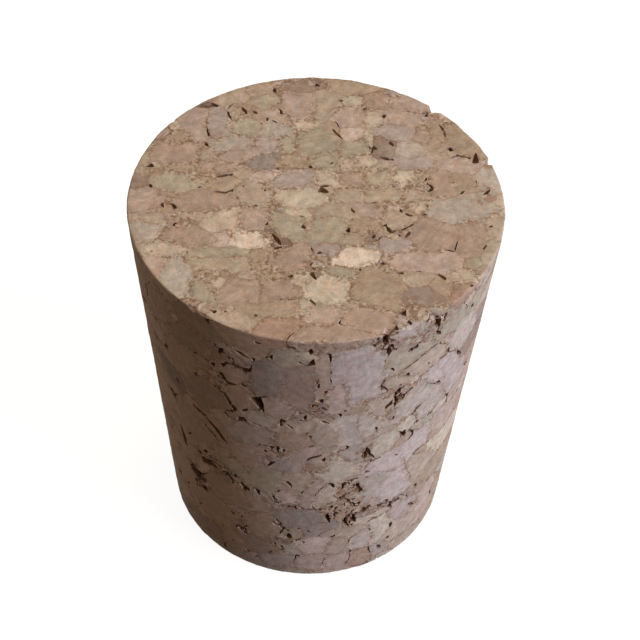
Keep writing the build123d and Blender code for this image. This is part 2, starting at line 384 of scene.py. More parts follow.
# Open pores and cracks of the wide face: x, y, length, width, depth, heading, corners (3 or 2)
FACE_PORES = [
    (0.5, 1.3, 1.5, 1.0, 0.8, -20, 3),
    (0.7, 1.9, 1.3, 0.4, 0.5, 10, 2),
    (2.8, -3.4, 0.9, 0.8, 1.0, 70, 3),
    (4.9, 6.9, 0.8, 1.0, 0.9, 90, 3),
    (6.4, 7.7, 1.6, 0.4, 0.6, -50, 2),
    (6.0, 5.6, 1.4, 0.4, 0.6, -20, 2),
    (6.6, 5.5, 0.5, 0.7, 0.6, 90, 3),
    (5.9, 11.3, 0.8, 0.7, 0.7, -90, 3),
    (9.9, 1.9, 0.6, 0.7, 0.8, 90, 3),
    (9.5, 3.1, 0.8, 0.4, 0.6, 80, 3),
    (14.0, 6.0, 2.1, 0.8, 0.9, 85, 3),
    (11.2, 9.4, 2.8, 0.3, 0.5, -70, 2),
    (9.8, 11.6, 0.7, 0.6, 0.7, 60, 3),
    (1.5, 8.9, 1.5, 0.3, 0.5, -62, 2),
    (-0.7, 4.2, 0.9, 0.4, 0.6, -25, 2),
    (1.2, 4.8, 0.8, 0.5, 0.4, 60, 3),
    (-8.3, 2.7, 2.0, 0.4, 0.6, 16, 2),
    (-7.6, 2.9, 0.5, 0.5, 0.7, 20, 3),
    (-10.2, 1.2, 0.6, 0.4, 0.5, 10, 3),
    (-4.5, 1.2, 1.2, 0.3, 0.5, -38, 2),
    (-6.4, 1.4, 0.4, 0.6, 0.5, 90, 3),
    (-7.0, 0.0, 0.4, 0.8, 0.4, 90, 3),
    (-5.4, -0.9, 1.7, 0.3, 0.5, 12, 2),
    (-14.8, 3.7, 0.8, 1.1, 0.9, 90, 3),
    (-14.5, 1.1, 1.0, 0.4, 0.6, -62, 2),
    (-13.3, -1.3, 0.9, 0.5, 0.6, -60, 3),
    (-12.3, -1.4, 0.7, 0.4, 0.5, -60, 3),
    (-10.3, 11.8, 2.6, 0.5, 0.5, 10, 2),
    (-6.8, 11.3, 1.5, 0.4, 0.6, -65, 2),
    (-5.9, 11.2, 0.9, 0.4, 0.5, -40, 2),
    (-4.2, 14.4, 1.2, 0.4, 0.6, -75, 2),
    (-0.3, 15.2, 0.9, 0.6, 0.6, -10, 3),
    (-10.1, 6.7, 0.8, 0.3, 0.5, -60, 2),
    (-13.2, 9.7, 0.9, 0.4, 0.5, 60, 2),
    (-4.7, 10.3, 0.7, 0.3, 0.5, 90, 2),
    (2.0, 13.2, 0.8, 0.5, 0.5, 10, 3),
    (4.1, 12.3, 0.7, 0.6, 0.4, 20, 3),
    (-3.3, -4.9, 2.0, 0.5, 0.7, -60, 2),
    (-4.2, -3.1, 0.9, 0.3, 0.6, 70, 2),
    (-3.2, -5.9, 1.5, 0.6, 0.6, 15, 3),
    (-1.9, -9.1, 0.5, 0.8, 0.6, 90, 3),
    (0.0, -9.0, 1.7, 0.7, 0.7, -62, 3),
    (0.3, -6.3, 0.8, 0.5, 0.5, 0, 3),
    (-0.1, -11.8, 1.9, 0.3, 0.5, -48, 2),
    (6.0, -2.7, 0.6, 0.5, 0.7, 60, 3),
    (6.3, -3.3, 1.2, 0.4, 0.6, -62, 2),
    (7.9, -3.7, 1.3, 0.4, 0.5, 62, 2),
    (5.0, -4.2, 0.8, 0.7, 0.6, 60, 3),
    (7.4, -0.9, 0.9, 0.3, 0.5, -50, 2),
    (3.2, -1.1, 1.0, 0.3, 0.5, -65, 2),
    (9.3, -1.3, 0.4, 1.0, 0.6, 90, 3),
    (8.1, -1.3, 1.2, 0.3, 0.5, -15, 2),
    (5.0, 0.0, 0.9, 0.3, 0.4, 10, 2),
    (14.8, 1.7, 1.2, 0.4, 0.6, 58, 2),
    (12.7, 1.6, 0.9, 0.3, 0.5, 45, 2),
    (15.0, -2.5, 0.5, 0.6, 0.6, 90, 3),
    (10.8, -8.7, 1.7, 0.4, 0.5, -38, 2),
    (13.2, -9.5, 0.5, 0.5, 0.8, 0, 3),
    (7.2, -8.4, 1.1, 0.3, 0.4, -5, 2),
    (3.9, -8.1, 0.6, 0.4, 0.5, 0, 3),
    (5.8, -7.3, 0.4, 0.8, 0.6, 70, 3),
    (7.5, -12.9, 1.0, 0.9, 0.8, -60, 3),
    (7.9, -13.8, 0.6, 0.8, 0.6, 80, 3),
    (10.3, -13.3, 0.8, 1.4, 0.9, 80, 3),
    (6.1, -15.3, 1.1, 0.9, 1.1, -60, 3),
    (2.2, -15.0, 0.6, 0.4, 0.6, 60, 3),
    (-8.0, -13.4, 0.6, 0.6, 0.8, 40, 3),
    (-7.2, -13.4, 0.4, 0.4, 0.6, 0, 3),
    (-4.6, -13.7, 0.9, 0.3, 0.6, -45, 2),
    (-8.7, -14.2, 0.7, 0.5, 0.8, 80, 3),
    (14.4, -5.0, 1.8, 0.3, 0.4, 58, 2),
    (-13.5, -6.8, 1.3, 0.2, 0.4, -10, 2),
]

# Open pores and cracks of the side: angle, height, length, width, depth, tilt, corners
SIDE_PORES = [
    (-106, 28.3, 2.8, 1.4, 1.1, -68, 3),
    (-113, 32.8, 2.8, 0.5, 0.8, 2, 2),
    (-109, 32.8, 0.8, 0.8, 0.8, 0, 3),
    (-117.5, 32.3, 1.0, 0.6, 0.8, 50, 3),
    (-121, 31.6, 0.9, 0.6, 0.8, 60, 3),
    (-111, 34.7, 1.8, 0.4, 0.7, -25, 2),
    (-107, 34.4, 0.9, 0.5, 0.8, -70, 3),
    (-118, 34.1, 1.4, 0.4, 0.7, 50, 2),
    (-114, 33.6, 0.7, 0.4, 0.7, 90, 3),
    (-118, 30.5, 1.2, 0.5, 0.8, -55, 2),
    (-115, 30.0, 1.6, 0.6, 0.8, 10, 3),
    (-101.5, 35.4, 1.1, 0.5, 0.8, 75, 3),
    (-90, 36.7, 1.1, 0.4, 0.8, 85, 2),
    (-89.5, 35.2, 1.3, 0.7, 0.9, 80, 3),
    (-93, 35.0, 0.9, 0.5, 0.8, -50, 3),
    (-91.3, 34.8, 1.2, 0.3, 0.6, 5, 2),
    (-85.2, 36.3, 0.6, 0.5, 0.8, 0, 3),
    (-117, 27.3, 2.0, 0.4, 0.7, -70, 2),
    (-115, 26.3, 0.9, 0.5, 0.7, -40, 3),
    (-111, 26.6, 1.4, 0.3, 0.6, 52, 2),
    (-113, 25.1, 1.3, 0.6, 0.8, 40, 3),
    (-107, 25.0, 1.7, 0.3, 0.6, -4, 2),
    (-98.5, 26.3, 0.7, 0.6, 0.7, 10, 3),
    (-96, 25.6, 1.5, 0.3, 0.7, -38, 2),
    (-89.5, 24.3, 0.8, 0.5, 0.5, -60, 3),
    (-100, 22.0, 0.6, 0.6, 0.8, 0, 3),
    (-104.5, 21.0, 0.7, 0.5, 0.8, 60, 3),
    (-102, 19.4, 2.4, 0.3, 0.6, 48, 2),
    (-130, 23.0, 2.6, 0.4, 0.7, -12, 2),
    (-123, 21.4, 3.6, 0.6, 0.8, -48, 2),
    (-145, 21.8, 1.2, 0.9, 0.9, -30, 3),
    (-140, 25.0, 1.6, 0.3, 0.5, -55, 2),
    (-141.5, 15.8, 4.0, 0.5, 0.9, -78, 2),
    (-137, 17.6, 1.0, 0.4, 0.7, 55, 3),
    (-129, 16.7, 1.3, 0.4, 0.7, 55, 2),
    (-129.5, 14.9, 1.8, 1.2, 1.0, 10, 3),
    (-126, 15.0, 0.6, 1.1, 0.8, 70, 3),
    (-136, 11.4, 2.0, 1.4, 1.0, 50, 3),
    (-132.5, 9.8, 0.9, 0.9, 1.0, -40, 3),
    (-138, 9.6, 0.9, 0.5, 0.8, 50, 3),
    (-119.5, 14.7, 1.6, 0.5, 0.7, -55, 3),
    (-116.5, 15.3, 0.8, 0.3, 0.6, 50, 2),
    (-108, 13.9, 1.2, 0.5, 0.9, -62, 3),
    (-102, 13.7, 1.6, 0.3, 0.7, -72, 2),
    (-101, 12.9, 0.7, 0.6, 0.8, -30, 3),
    (-96.5, 16.3, 1.7, 0.6, 0.6, -62, 3),
    (-96.5, 12.5, 0.7, 0.5, 0.8, 20, 3),
    (-88, 12.2, 3.4, 0.3, 0.5, 4, 2),
    (-81.5, 12.5, 0.9, 0.4, 0.8, 20, 3),
    (-81.3, 16.3, 1.5, 0.5, 0.8, -62, 2),
    (-77, 16.3, 0.9, 0.5, 0.8, 65, 3),
    (-74, 16.7, 1.8, 0.3, 0.6, 20, 2),
    (-68.5, 17.5, 0.8, 0.6, 0.8, -10, 3),
    (-71, 15.0, 1.0, 0.6, 0.8, 70, 3),
    (-77, 14.0, 0.8, 0.5, 0.8, 0, 3),
    (-75, 13.4, 1.2, 0.3, 0.7, -60, 2),
    (-73, 12.6, 1.0, 0.4, 0.7, -50, 3),
    (-78, 11.4, 0.8, 0.4, 0.7, 60, 3),
    (-81.5, 10.2, 1.4, 0.5, 0.8, -80, 3),
    (-74.5, 9.2, 2.2, 0.4, 0.8, -65, 2),
    (-71.3, 9.5, 1.9, 0.7, 1.0, -68, 3),
    (-68, 10.8, 1.3, 0.7, 0.8, 10, 3),
    (-61, 10.7, 1.6, 0.3, 0.7, -4, 2),
    (-66, 11.2, 0.6, 0.6, 0.7, 45, 3),
    (-56.3, 9.6, 1.6, 0.6, 1.0, -72, 3),
    (-53, 10.1, 1.1, 0.6, 0.8, 20, 3),
    (-62.5, 8.6, 1.1, 0.5, 0.6, -10, 3),
    (-44, 10.4, 0.8, 0.6, 0.8, -60, 3),
    (-88.7, 8.3, 0.7, 0.6, 0.9, 50, 3),
    (-90.5, 6.1, 0.6, 0.6, 0.9, 0, 3),
    (-99, 5.0, 0.8, 0.6, 0.9, -45, 3),
    (-93, 3.6, 0.6, 0.9, 0.8, 90, 3),
    (-98.5, 8.5, 1.7, 0.4, 0.7, -50, 2),
    (-96, 7.3, 0.9, 0.3, 0.6, -75, 2),
    (-119.5, 8.3, 0.9, 0.7, 0.9, 0, 3),
    (-115, 8.6, 0.7, 0.4, 0.6, 20, 3),
    (-114, 7.2, 1.0, 0.4, 0.7, -80, 3),
    (-114, 6.2, 0.9, 0.4, 0.7, -70, 3),
    (-121, 3.1, 0.9, 0.4, 0.8, 60, 3),
    (-137.5, 5.7, 1.2, 0.3, 0.5, 45, 2),
    (-91, 27.2, 1.1, 0.5, 0.8, 78, 3),
    (-85.5, 28.6, 0.9, 0.5, 0.8, -45, 3),
    (-88.5, 28.1, 0.8, 0.3, 0.6, -10, 2),
    (-85, 26.5, 0.9, 0.3, 0.6, -35, 2),
    (-80, 27.4, 1.1, 0.5, 0.8, -72, 3),
    (-84.3, 20.7, 1.0, 0.5, 0.8, 75, 3),
    (-87, 18.6, 0.6, 0.4, 0.7, 0, 3),
    (-67, 30.3, 0.8, 0.7, 0.9, 90, 3),
    (-58.5, 31.0, 0.7, 0.5, 0.8, -60, 3),
    (-51, 31.1, 0.6, 0.4, 0.7, -60, 3),
    (-61.5, 28.9, 1.2, 0.4, 0.7, 52, 2),
    (-64, 27.4, 1.4, 0.4, 0.6, 65, 2),
    (-56.5, 28.4, 0.8, 0.4, 0.5, 20, 3),
    (-61.5, 25.0, 0.9, 0.4, 0.7, 90, 3),
    (-67, 24.3, 0.8, 0.5, 0.8, -70, 3),
    (-56.3, 21.7, 1.5, 0.9, 0.9, -68, 3),
    (-49, 22.2, 2.6, 0.25, 0.5, 10, 2),
    (-68, 20.3, 1.9, 0.3, 0.6, -62, 2),
    (-66, 19.3, 0.6, 0.5, 0.7, -30, 3),
    (-57.5, 18.5, 0.8, 0.3, 0.5, -40, 2),
    (-44, 26.9, 1.0, 0.4, 0.7, -50, 2),
    (-35, 28.8, 1.8, 0.4, 0.7, -48, 2),
    (-25, 24.6, 1.5, 0.5, 0.8, -45, 3),
    (-33, 34.8, 1.3, 0.6, 0.8, -60, 3),
    (-50.5, 36.6, 1.6, 0.9, 0.9, -60, 3),
    (-49, 35.0, 1.3, 0.4, 0.7, -60, 2),
    (-57.5, 34.5, 0.8, 0.6, 0.7, 30, 3),
    (-68, 37.0, 1.2, 0.6, 0.8, -60, 3),
    (-65.5, 35.4, 0.8, 0.4, 0.6, -30, 3),
    (-65, 32.6, 0.9, 0.3, 0.5, -55, 2),
    (-87.5, 32.0, 3.6, 0.15, 0.4, -84, 2),
    (-54, 5.8, 1.6, 0.4, 0.7, -82, 2),
    (-54.3, 3.4, 0.8, 0.7, 0.9, 60, 3),
    (-58, 2.5, 1.3, 0.4, 0.8, -60, 2),
    (-44, 7.2, 1.8, 0.4, 0.7, -50, 2),
    (-76, 3.1, 0.8, 0.3, 0.6, -80, 3),
    (-158, 31.0, 1.4, 0.9, 0.9, 30, 3),
    (-106, 36.9, 0.9, 0.5, 0.7, 10, 3),
    (-121.5, 37.3, 0.8, 0.5, 0.8, -60, 3),
]

# Chips out of the wide rim: angle, width along the rim, bite inwards, bite downwards
RIM_CHIPS = [
    (50, 1.6, 1.0, 1.4),
    (21, 1.3, 0.9, 1.8),
    (36, 7.0, 0.25, 0.5),
    (-52, 1.8, 0.8, 1.2),
    (-60, 3.2, 0.45, 0.6),
    (-68, 1.6, 0.8, 1.0),
    (-127, 1.6, 0.45, 0.6),
    (-122, 3.4, 0.25, 0.4),
    (63, 1.6, 0.25, 0.4),
]

# ---------------------------------------------------------------- places on the plug


def side_radius(height):
    """Radius of the tapered side at a height above the narrow end."""
    return NARROW_RADIUS + (WIDE_RADIUS - NARROW_RADIUS) * height / LENGTH


def face_place(x, y, heading):
    """A point of the wide face, and the axes along a heading, across it and outwards."""
    turn = math.radians(heading)
    along = np.array([math.cos(turn), math.sin(turn), 0.0])
    out = np.array([0.0, 0.0, 1.0])
    return np.array([x, y, LENGTH]), np.stack([along, np.cross(out, along), out])


def side_place(angle, height, tilt):
    """A point of the side, and the axes along a tilt from the way round, across it and outwards."""
    turn, rise = math.radians(angle), math.radians(tilt)
    lean = math.atan2(WIDE_RADIUS - NARROW_RADIUS, LENGTH)
    out = np.array([math.cos(turn) * math.cos(lean), math.sin(turn) * math.cos(lean), -math.sin(lean)])
    around = np.array([-math.sin(turn), math.cos(turn), 0.0])
    along = around * math.cos(rise) + np.cross(out, around) * math.sin(rise)
    radius = side_radius(height)
    point = np.array([radius * math.cos(turn), radius * math.sin(turn), height])
    return point, np.stack([along, np.cross(out, along), out])


WHOLE_SIDE = 0.9  # share of the side's places picked over its whole height, the rest over its upper half
TILT_SPREAD = 28


def random_place(rng):
    """A point picked evenly over the whole surface, and its axes with a random heading."""
    areas = np.array([WIDE_RADIUS**2, NARROW_RADIUS**2, (WIDE_RADIUS + NARROW_RADIUS) * LENGTH])
    where = rng.choice(3, p=areas / areas.sum())
    heading = rng.uniform(0, 180)
    if where == 2:
        share = rng.uniform() if rng.uniform() < WHOLE_SIDE else rng.uniform(0.5, 1)
        return side_place(rng.uniform(-180, 180), share * LENGTH, rng.normal(0, TILT_SPREAD))
    radius = math.sqrt(rng.uniform()) * (WIDE_RADIUS, NARROW_RADIUS)[where]
    turn = rng.uniform(0, 2 * math.pi)
    point, axes = face_place(radius * math.cos(turn), radius * math.sin(turn), heading)
    if where == 1:
        point[2] = 0.0
        axes = axes * np.array([[1], [1], [-1]])
    return point, axes


# ---------------------------------------------------------------- granules

CHOSEN_SINK = 0.3  # how far under the ground surface a chosen granule's middle lies
CHOSEN_FILL = 0.56  # half-size of a chosen granule in its packing, as a share of its seen size
FLATNESS = 0.62  # thickness of a loose granule over its breadth
SIZE_STEPS = [(2.1, 900), (1.6, 2200), (1.15, 4000), (0.8, 5000), (0.55, 3000)]  # breadth, tries
LOOSE_GAP = 0.62  # how close loose granules may pack, as a share of their breadth
LOOSE_SINK = 0.6  # the most that a loose granule's middle lies under the surface, as a share likewise
PRESS_LEAN = 22  # the spread, in degrees, of a granule's thin way about the pressing direction
CRUMB_SIZE = 0.34
CRUMB_SHAPE = (1.25, 0.9, 0.8)
CRUMB_ROOM = 2.2  # how many crumb sizes squared each crumb takes up in its gap
CRUMB_SINK = 0.25
CRUMB_BREADTH = 0.7  # loose granules smaller than this count as crumbs
SHADE_KEPT = 0.55  # this share of crumbs keeps its gap's own shade
BATCH = 8000  # points worked out at a time
FAR_ENOUGH = 9.0  # a granule further off than this never touches another
MOST_GRANULES = 6000
DARKEST_TONE, TONE_SPREAD = 0.94, 0.12  # how light the darkest granule of a shade is, and what chance adds
PLAIN_CORK = (175, 150, 125)
PALENESS = 0.5  # how far each granule's hue is drawn to plain cork
LIGHT_SHARES = (0.2126, 0.7152, 0.0722)


def srgb_to_linear(colour):
    """Linear light values of an sRGB colour in bytes."""
    share = np.asarray(colour, float) / 255
    return np.where(share <= 0.04045, share / 12.92, ((share + 0.055) / 1.055) ** 2.4)


class Granules:
    """The packing: an ellipsoid for each granule, with its shade, its growth direction and its tone."""

    def __init__(self, rng):
        self.rng = rng
        self.centres, self.metrics, self.breadths, self.shades, self.crumbly = [], [], [], [], []
        self.file = np.zeros((MOST_GRANULES, 13))  # a row each: centre, breadth and metric
        self.filed = 0

    def add(self, centre, axes, half_sizes, shade, crumbly=0.0):
        """Put in one granule: half_sizes run along the three axes, given as rows."""
        scaled = axes / np.asarray(half_sizes)[:, None]
        self.centres.append(centre)
        self.metrics.append(scaled.T @ scaled)
        self.breadths.append(float(np.prod(half_sizes)) ** (1 / 3))
        self.shades.append(shade)
        self.crumbly.append(crumbly)

    def has_room(self, point, breadth, gap):
        """Whether a granule of this breadth fits at a point without lying well inside another."""
        count = len(self.centres)
        for k in range(self.filed, count):
            self.file[k] = [*self.centres[k], self.breadths[k], *self.metrics[k].ravel()]
        self.filed = count
        near = self.file[:count]
        near = near[np.abs(near[:, :3] - point).max(1) < FAR_ENOUGH]
        offset = point - near[:, :3]
        reach = np.sqrt(np.einsum("ni,nij,nj->n", offset, near[:, 4:].reshape(-1, 3, 3), offset))
        return bool(np.all(reach > 1 + gap * breadth / near[:, 3]))

    def add_chosen(self, place, rows):
        """Put in the granules of a list, at their places."""
        for first, second, length, width, heading, shade in rows:
            point, axes = place(first, second, heading)
            halves = CHOSEN_FILL * np.array([length, width, 0.8 * math.sqrt(length * width)])
            self.add(point - CHOSEN_SINK * axes[2], axes, halves, shade)

    def add_crumbs(self, place, rows):
        """Fill the gaps of a list with crumbs."""
        for first, second, length, width, heading, shade in rows:
            point, axes = place(first, second, heading)
            wanted = int(length * width / CRUMB_SIZE**2 / CRUMB_ROOM)
            for _ in range(wanted):
                spot = np.clip(self.rng.normal(0, 0.3, 2), -0.5, 0.5) * (length, width)
                middle = point + spot @ axes[:2] - self.rng.uniform(0, CRUMB_SINK) * axes[2]
                halves = CRUMB_SIZE * self.rng.uniform(0.6, 1.5) * np.array(CRUMB_SHAPE)
                spun = self.spun(axes)
                self.add(middle, spun, halves, self.near_shade(shade), 1.0)

    def near_shade(self, shade):
        """Mostly the shade itself, sometimes one of the common ones."""
        return shade if self.rng.uniform() < SHADE_KEPT else self.common_shade()

    def common_shade(self):
        """One of the shades that loose granules have, the commoner the likelier."""
        names = [name for name, _ in COMMON_SHADES]
        weights = np.array([weight for _, weight in COMMON_SHADES], float)
        return str(self.rng.choice(names, p=weights / weights.sum()))

    def spun(self, axes):
        """The axes turned about the way out by any angle."""
        turn = math.radians(self.rng.uniform(-180, 180))
        along = axes[0] * math.cos(turn) + axes[1] * math.sin(turn)
        return np.stack([along, np.cross(axes[2], along), axes[2]])

    def pressed_axes(self):
        """Axes of a loose granule: its thin way lies near the block's pressing direction, up."""
        lean = np.radians(self.rng.normal(0, PRESS_LEAN))
        swing = self.rng.uniform(0, 2 * math.pi)
        thin = np.array([math.sin(lean) * math.cos(swing), math.sin(lean) * math.sin(swing), math.cos(lean)])
        flat = np.cross(thin, self.rng.normal(0, 1, 3))
        flat /= np.linalg.norm(flat)
        return np.stack([flat, np.cross(thin, flat), thin])

    def add_loose(self):
        """Fill what is left with loose granules, the largest first."""
        for breadth, tries in SIZE_STEPS:
            for _ in range(tries):
                point, axes = random_place(self.rng)
                middle = point - self.rng.uniform(0, LOOSE_SINK) * breadth * axes[2]
                size = breadth * self.rng.uniform(0.8, 1.2)
                if not self.has_room(middle, size, LOOSE_GAP):
                    continue
                longer, thinner = self.rng.uniform(1.0, 1.5), FLATNESS * self.rng.uniform(0.8, 1.4)
                halves = size * np.array([longer, 1.0, thinner])
                crumbly = float(breadth < CRUMB_BREADTH)
                self.add(middle, self.pressed_axes(), halves, self.common_shade(), crumbly)

    def settle(self):
        """Turn the lists into arrays once all granules are in."""
        count = len(self.centres)
        self.centres, self.metrics = np.array(self.centres), np.array(self.metrics)
        self.crumbly = np.array(self.crumbly)
        colours = np.array([srgb_to_linear(SHADES[shade]) for shade in self.shades])
        light = colours @ LIGHT_SHARES
        plain = srgb_to_linear(PLAIN_CORK)
        plain = plain / (plain @ LIGHT_SHARES)
        self.colours = PALENESS * plain * light[:, None] + (1 - PALENESS) * colours
        self.tones = self.rng.uniform(0, 1, count)
        self.colours = self.colours * (DARKEST_TONE + TONE_SPREAD * self.tones[:, None])
        grain = self.rng.normal(0, 1, (count, 3)) * (1, 1, 0.5)
        self.grains = grain / np.linalg.norm(grain, axis=1, keepdims=True)
        pull = -2 * np.einsum("nij,nj->ni", self.metrics, self.centres)
        rest = np.einsum("ni,nij,nj->n", self.centres, self.metrics, self.centres)
        m = self.metrics
        squares = [m[:, 0, 0], m[:, 1, 1], m[:, 2, 2], 2 * m[:, 0, 1], 2 * m[:, 1, 2], 2 * m[:, 0, 2]]
        self.rows = np.column_stack([*squares, pull, rest])

    def reach(self, points, labels=None):
        """How far out each granule reaches each point, in its own half-sizes squared."""
        x, y, z = points.T
        terms = np.column_stack([x * x, y * y, z * z, x * y, y * z, x * z, x, y, z, np.ones(len(x))])
        if labels is None:
            return terms @ self.rows.T
        return (terms * self.rows[labels]).sum(1)

    def nearest(self, points):
        """The three granules that reach each point best, best first, and the distances to the two borders."""
        labels = np.zeros((len(points), 3), int)
        for start in range(0, len(points), BATCH):
            part = self.reach(points[start : start + BATCH])
            here = np.arange(len(part))
            for k in range(3):
                best = part.argmin(1)
                labels[start : start + BATCH, k] = best
                part[here, best] = np.inf
        reaches = [self.reach(points, labels[:, k]) for k in range(3)]
        slopes = []
        for k in range(3):
            metrics, centres = self.metrics[labels[:, k]], self.centres[labels[:, k]]
            slopes.append(2 * np.einsum("nij,nj->ni", metrics, points - centres))
        borders = []
        for k in (1, 2):
            steep = np.linalg.norm(slopes[k] - slopes[0], axis=1)
            borders.append((reaches[k] - reaches[0]) / np.maximum(steep, 1e-6))
        return labels, borders


def pack_granules():
    """The whole packing, chosen granules first."""
    granules = Granules(np.random.default_rng(SEED))
    granules.add_chosen(face_place, FACE_GRANULES)
    granules.add_chosen(side_place, SIDE_GRANULES)
    granules.add_crumbs(face_place, FACE_CRUMBS)
    granules.add_crumbs(side_place, SIDE_CRUMBS)
    granules.add_loose()
    granules.settle()
    return granules


# ---------------------------------------------------------------- the ground surface


class Skin:
    """The plug's surface as triangles: points, the way out at each, and values carried with them."""

    def __init__(self, points, out, corners):
        self.points, self.out, self.corners = points, out, corners

    def edges(self):
        """Each edge's two ends once, and which three edges each triangle has."""
        pairs = np.sort(self.corners[:, [0, 1, 1, 2, 2, 0]].reshape(-1, 2), axis=1)
        keys = pairs[:, 0] * len(self.points) + pairs[:, 1]
        _, first, back = np.unique(keys, return_index=True, return_inverse=True)
        return pairs[first], back.reshape(-1, 3)

    def split(self, ends, edges_of, marked, share):
        """Put a point on each marked edge, a share of the way along it, and cut the triangles there."""
        fresh = np.full(len(ends), -1)
        fresh[marked] = len(self.points) + np.arange(marked.sum())
        a, b, t = ends[marked, 0], ends[marked, 1], share[marked, None]
        self.points = np.vstack([self.points, self.points[a] * (1 - t) + self.points[b] * t])
        out = self.out[a] * (1 - t) + self.out[b] * t
        self.out = np.vstack([self.out, out / np.linalg.norm(out, axis=1, keepdims=True)])
        middle = fresh[edges_of]
        has = middle >= 0
        count = has.sum(1)
        turn = np.where(count == 1, np.argmax(has, 1), np.where(count == 2, (np.argmin(has, 1) + 1) % 3, 0))
        turned = (np.arange(3) + turn[:, None]) % 3
        c, m = np.take_along_axis(self.corners, turned, 1), np.take_along_axis(middle, turned, 1)
        pieces = {
            0: [(c, 0, c, 1, c, 2)],
            1: [(c, 0, m, 0, c, 2), (m, 0, c, 1, c, 2)],
            2: [(m, 0, c, 1, m, 1), (c, 0, m, 0, m, 1), (c, 0, m, 1, c, 2)],
            3: [(c, 0, m, 0, m, 2), (m, 0, c, 1, m, 1), (m, 2, m, 1, c, 2), (m, 0, m, 1, m, 2)],
        }
        built = []
        for marks, triangles in pieces.items():
            rows = count == marks
            for p, i, q, j, r, k in triangles:
                built.append(np.column_stack([p[rows, i], q[rows, j], r[rows, k]]))
        self.corners = np.vstack(built)


RING_STEPS = 196
ROW_HEIGHT = 0.5
FACE_STEP = 0.54
RING_ROOM = 0.55  # how far points of a flat end keep from its ring, as a share of their step
CORNER_STEPS = 3


def rounded_profile():
    """Radius, height and way out of each ring of the plug, from the narrow end's edge to the wide end's."""
    lean = math.atan2(WIDE_RADIUS - NARROW_RADIUS, LENGTH)
    rings = []
    low_tuck = EDGE_BREAK * math.tan((math.pi / 2 - lean) / 2)
    high_tuck = EDGE_BREAK * math.tan((math.pi / 2 + lean) / 2)
    low_x, high_x = NARROW_RADIUS - low_tuck, WIDE_RADIUS - high_tuck
    for k in range(CORNER_STEPS + 1):
        swing = -math.pi / 2 + (math.pi / 2 - lean) * k / CORNER_STEPS
        out = (math.cos(swing), math.sin(swing))
        rings.append((low_x + EDGE_BREAK * out[0], EDGE_BREAK * (1 + out[1]), out))
    start, stop = rings[-1][1], LENGTH - EDGE_BREAK * (1 + math.sin(lean))
    rows = round((stop - start) / ROW_HEIGHT)
    for k in range(1, rows):
        height = start + (stop - start) * k / rows
        rings.append((side_radius(height), height, (math.cos(lean), -math.sin(lean))))
    for k in range(CORNER_STEPS + 1):
        swing = -lean + (math.pi / 2 + lean) * k / CORNER_STEPS
        out = (math.cos(swing), math.sin(swing))
        rings.append((high_x + EDGE_BREAK * out[0], LENGTH - EDGE_BREAK * (1 - out[1]), out))
    return rings


def face_triangles(ring, height, way):
    """Even triangles over a flat end: the new points inside the ring, and all triangles."""
    rim = np.hypot(*ring[0])
    inner = []
    rows = int(rim / (FACE_STEP * math.sqrt(0.75))) + 1
    for row in range(-rows, rows + 1):
        for column in range(-rows - 2, rows + 3):
            x = (column + 0.5 * (row % 2)) * FACE_STEP
            y = row * FACE_STEP * math.sqrt(0.75)
            if math.hypot(x, y) < rim - RING_ROOM * FACE_STEP:
                inner.append((x, y))
    flat = [Vector(p) for p in ring] + [Vector(p) for p in inner]
    found = geometry.delaunay_2d_cdt(flat, [], [], 0, 1e-7)
    origin = [sources[0] for sources in found[3]]
    triangles = np.array([[origin[i] for i in face] for face in found[2]])
    points = np.column_stack([np.array(inner), np.full(len(inner), height)])
    return points, triangles if way > 0 else triangles[:, ::-1]


def ground_blank():
    """The plug as it is ground, before any seam or pore shows."""
    rings = rounded_profile()
    points, out, corners = [], [], []
    for row, (radius, height, way) in enumerate(rings):
        turn = 2 * math.pi * (np.arange(RING_STEPS) + 0.5 * (row % 2)) / RING_STEPS
        ring = np.column_stack([np.cos(turn), np.sin(turn), np.ones(RING_STEPS)])
        points.append(ring * (radius, radius, height))
        out.append(ring * (way[0], way[0], way[1]))
    here = np.arange(RING_STEPS)
    there = (here + 1) % RING_STEPS
    for row in range(len(rings) - 1):
        low, high = row * RING_STEPS, (row + 1) * RING_STEPS
        if row % 2 == 0:
            corners += [np.column_stack([low + here, low + there, high + here])]
            corners += [np.column_stack([low + there, high + there, high + here])]
        else:
            corners += [np.column_stack([low + here, high + there, high + here])]
            corners += [np.column_stack([low + here, low + there, high + there])]
    for row, way in ((0, -1.0), (len(rings) - 1, 1.0)):
        ring = points[row]
        inner, triangles = face_triangles(ring[:, :2].tolist(), ring[0, 2], way)
        start = sum(len(p) for p in points)
        numbers = np.concatenate([row * RING_STEPS + here, start + np.arange(len(inner))])
        points.append(inner)
        out.append(np.tile([0.0, 0.0, way], (len(inner), 1)))
        corners.append(numbers[triangles])
    return Skin(np.vstack(points), np.vstack(out), np.vstack(corners).astype(np.int64))


WANDERS = [(0.34, 0.55), (0.13, 1.9)]  # how far in mm, and how many to the mm
WANDER_SHIFTS = [Vector((9.3, -1.5, -7.9)), Vector((-4.1, 6.7, 2.3)), Vector((3.6, 8.2, -5.4))]


def wander(points):
    """The points moved a little by smooth noise, so that borders and pores run crooked."""
    moved = points.copy()
    for far, often in WANDERS:
        for k, shift in enumerate(WANDER_SHIFTS):
            moved[:, k] += far * np.array([noise.noise(Vector(p) + shift) for p in points * often])
    return moved


def halfway(points, crooked):
    """Points moved half as far: pores keep more of their chosen shape than borders do."""
    return (points + crooked) / 2


# ---------------------------------------------------------------- chips, pores and open seams

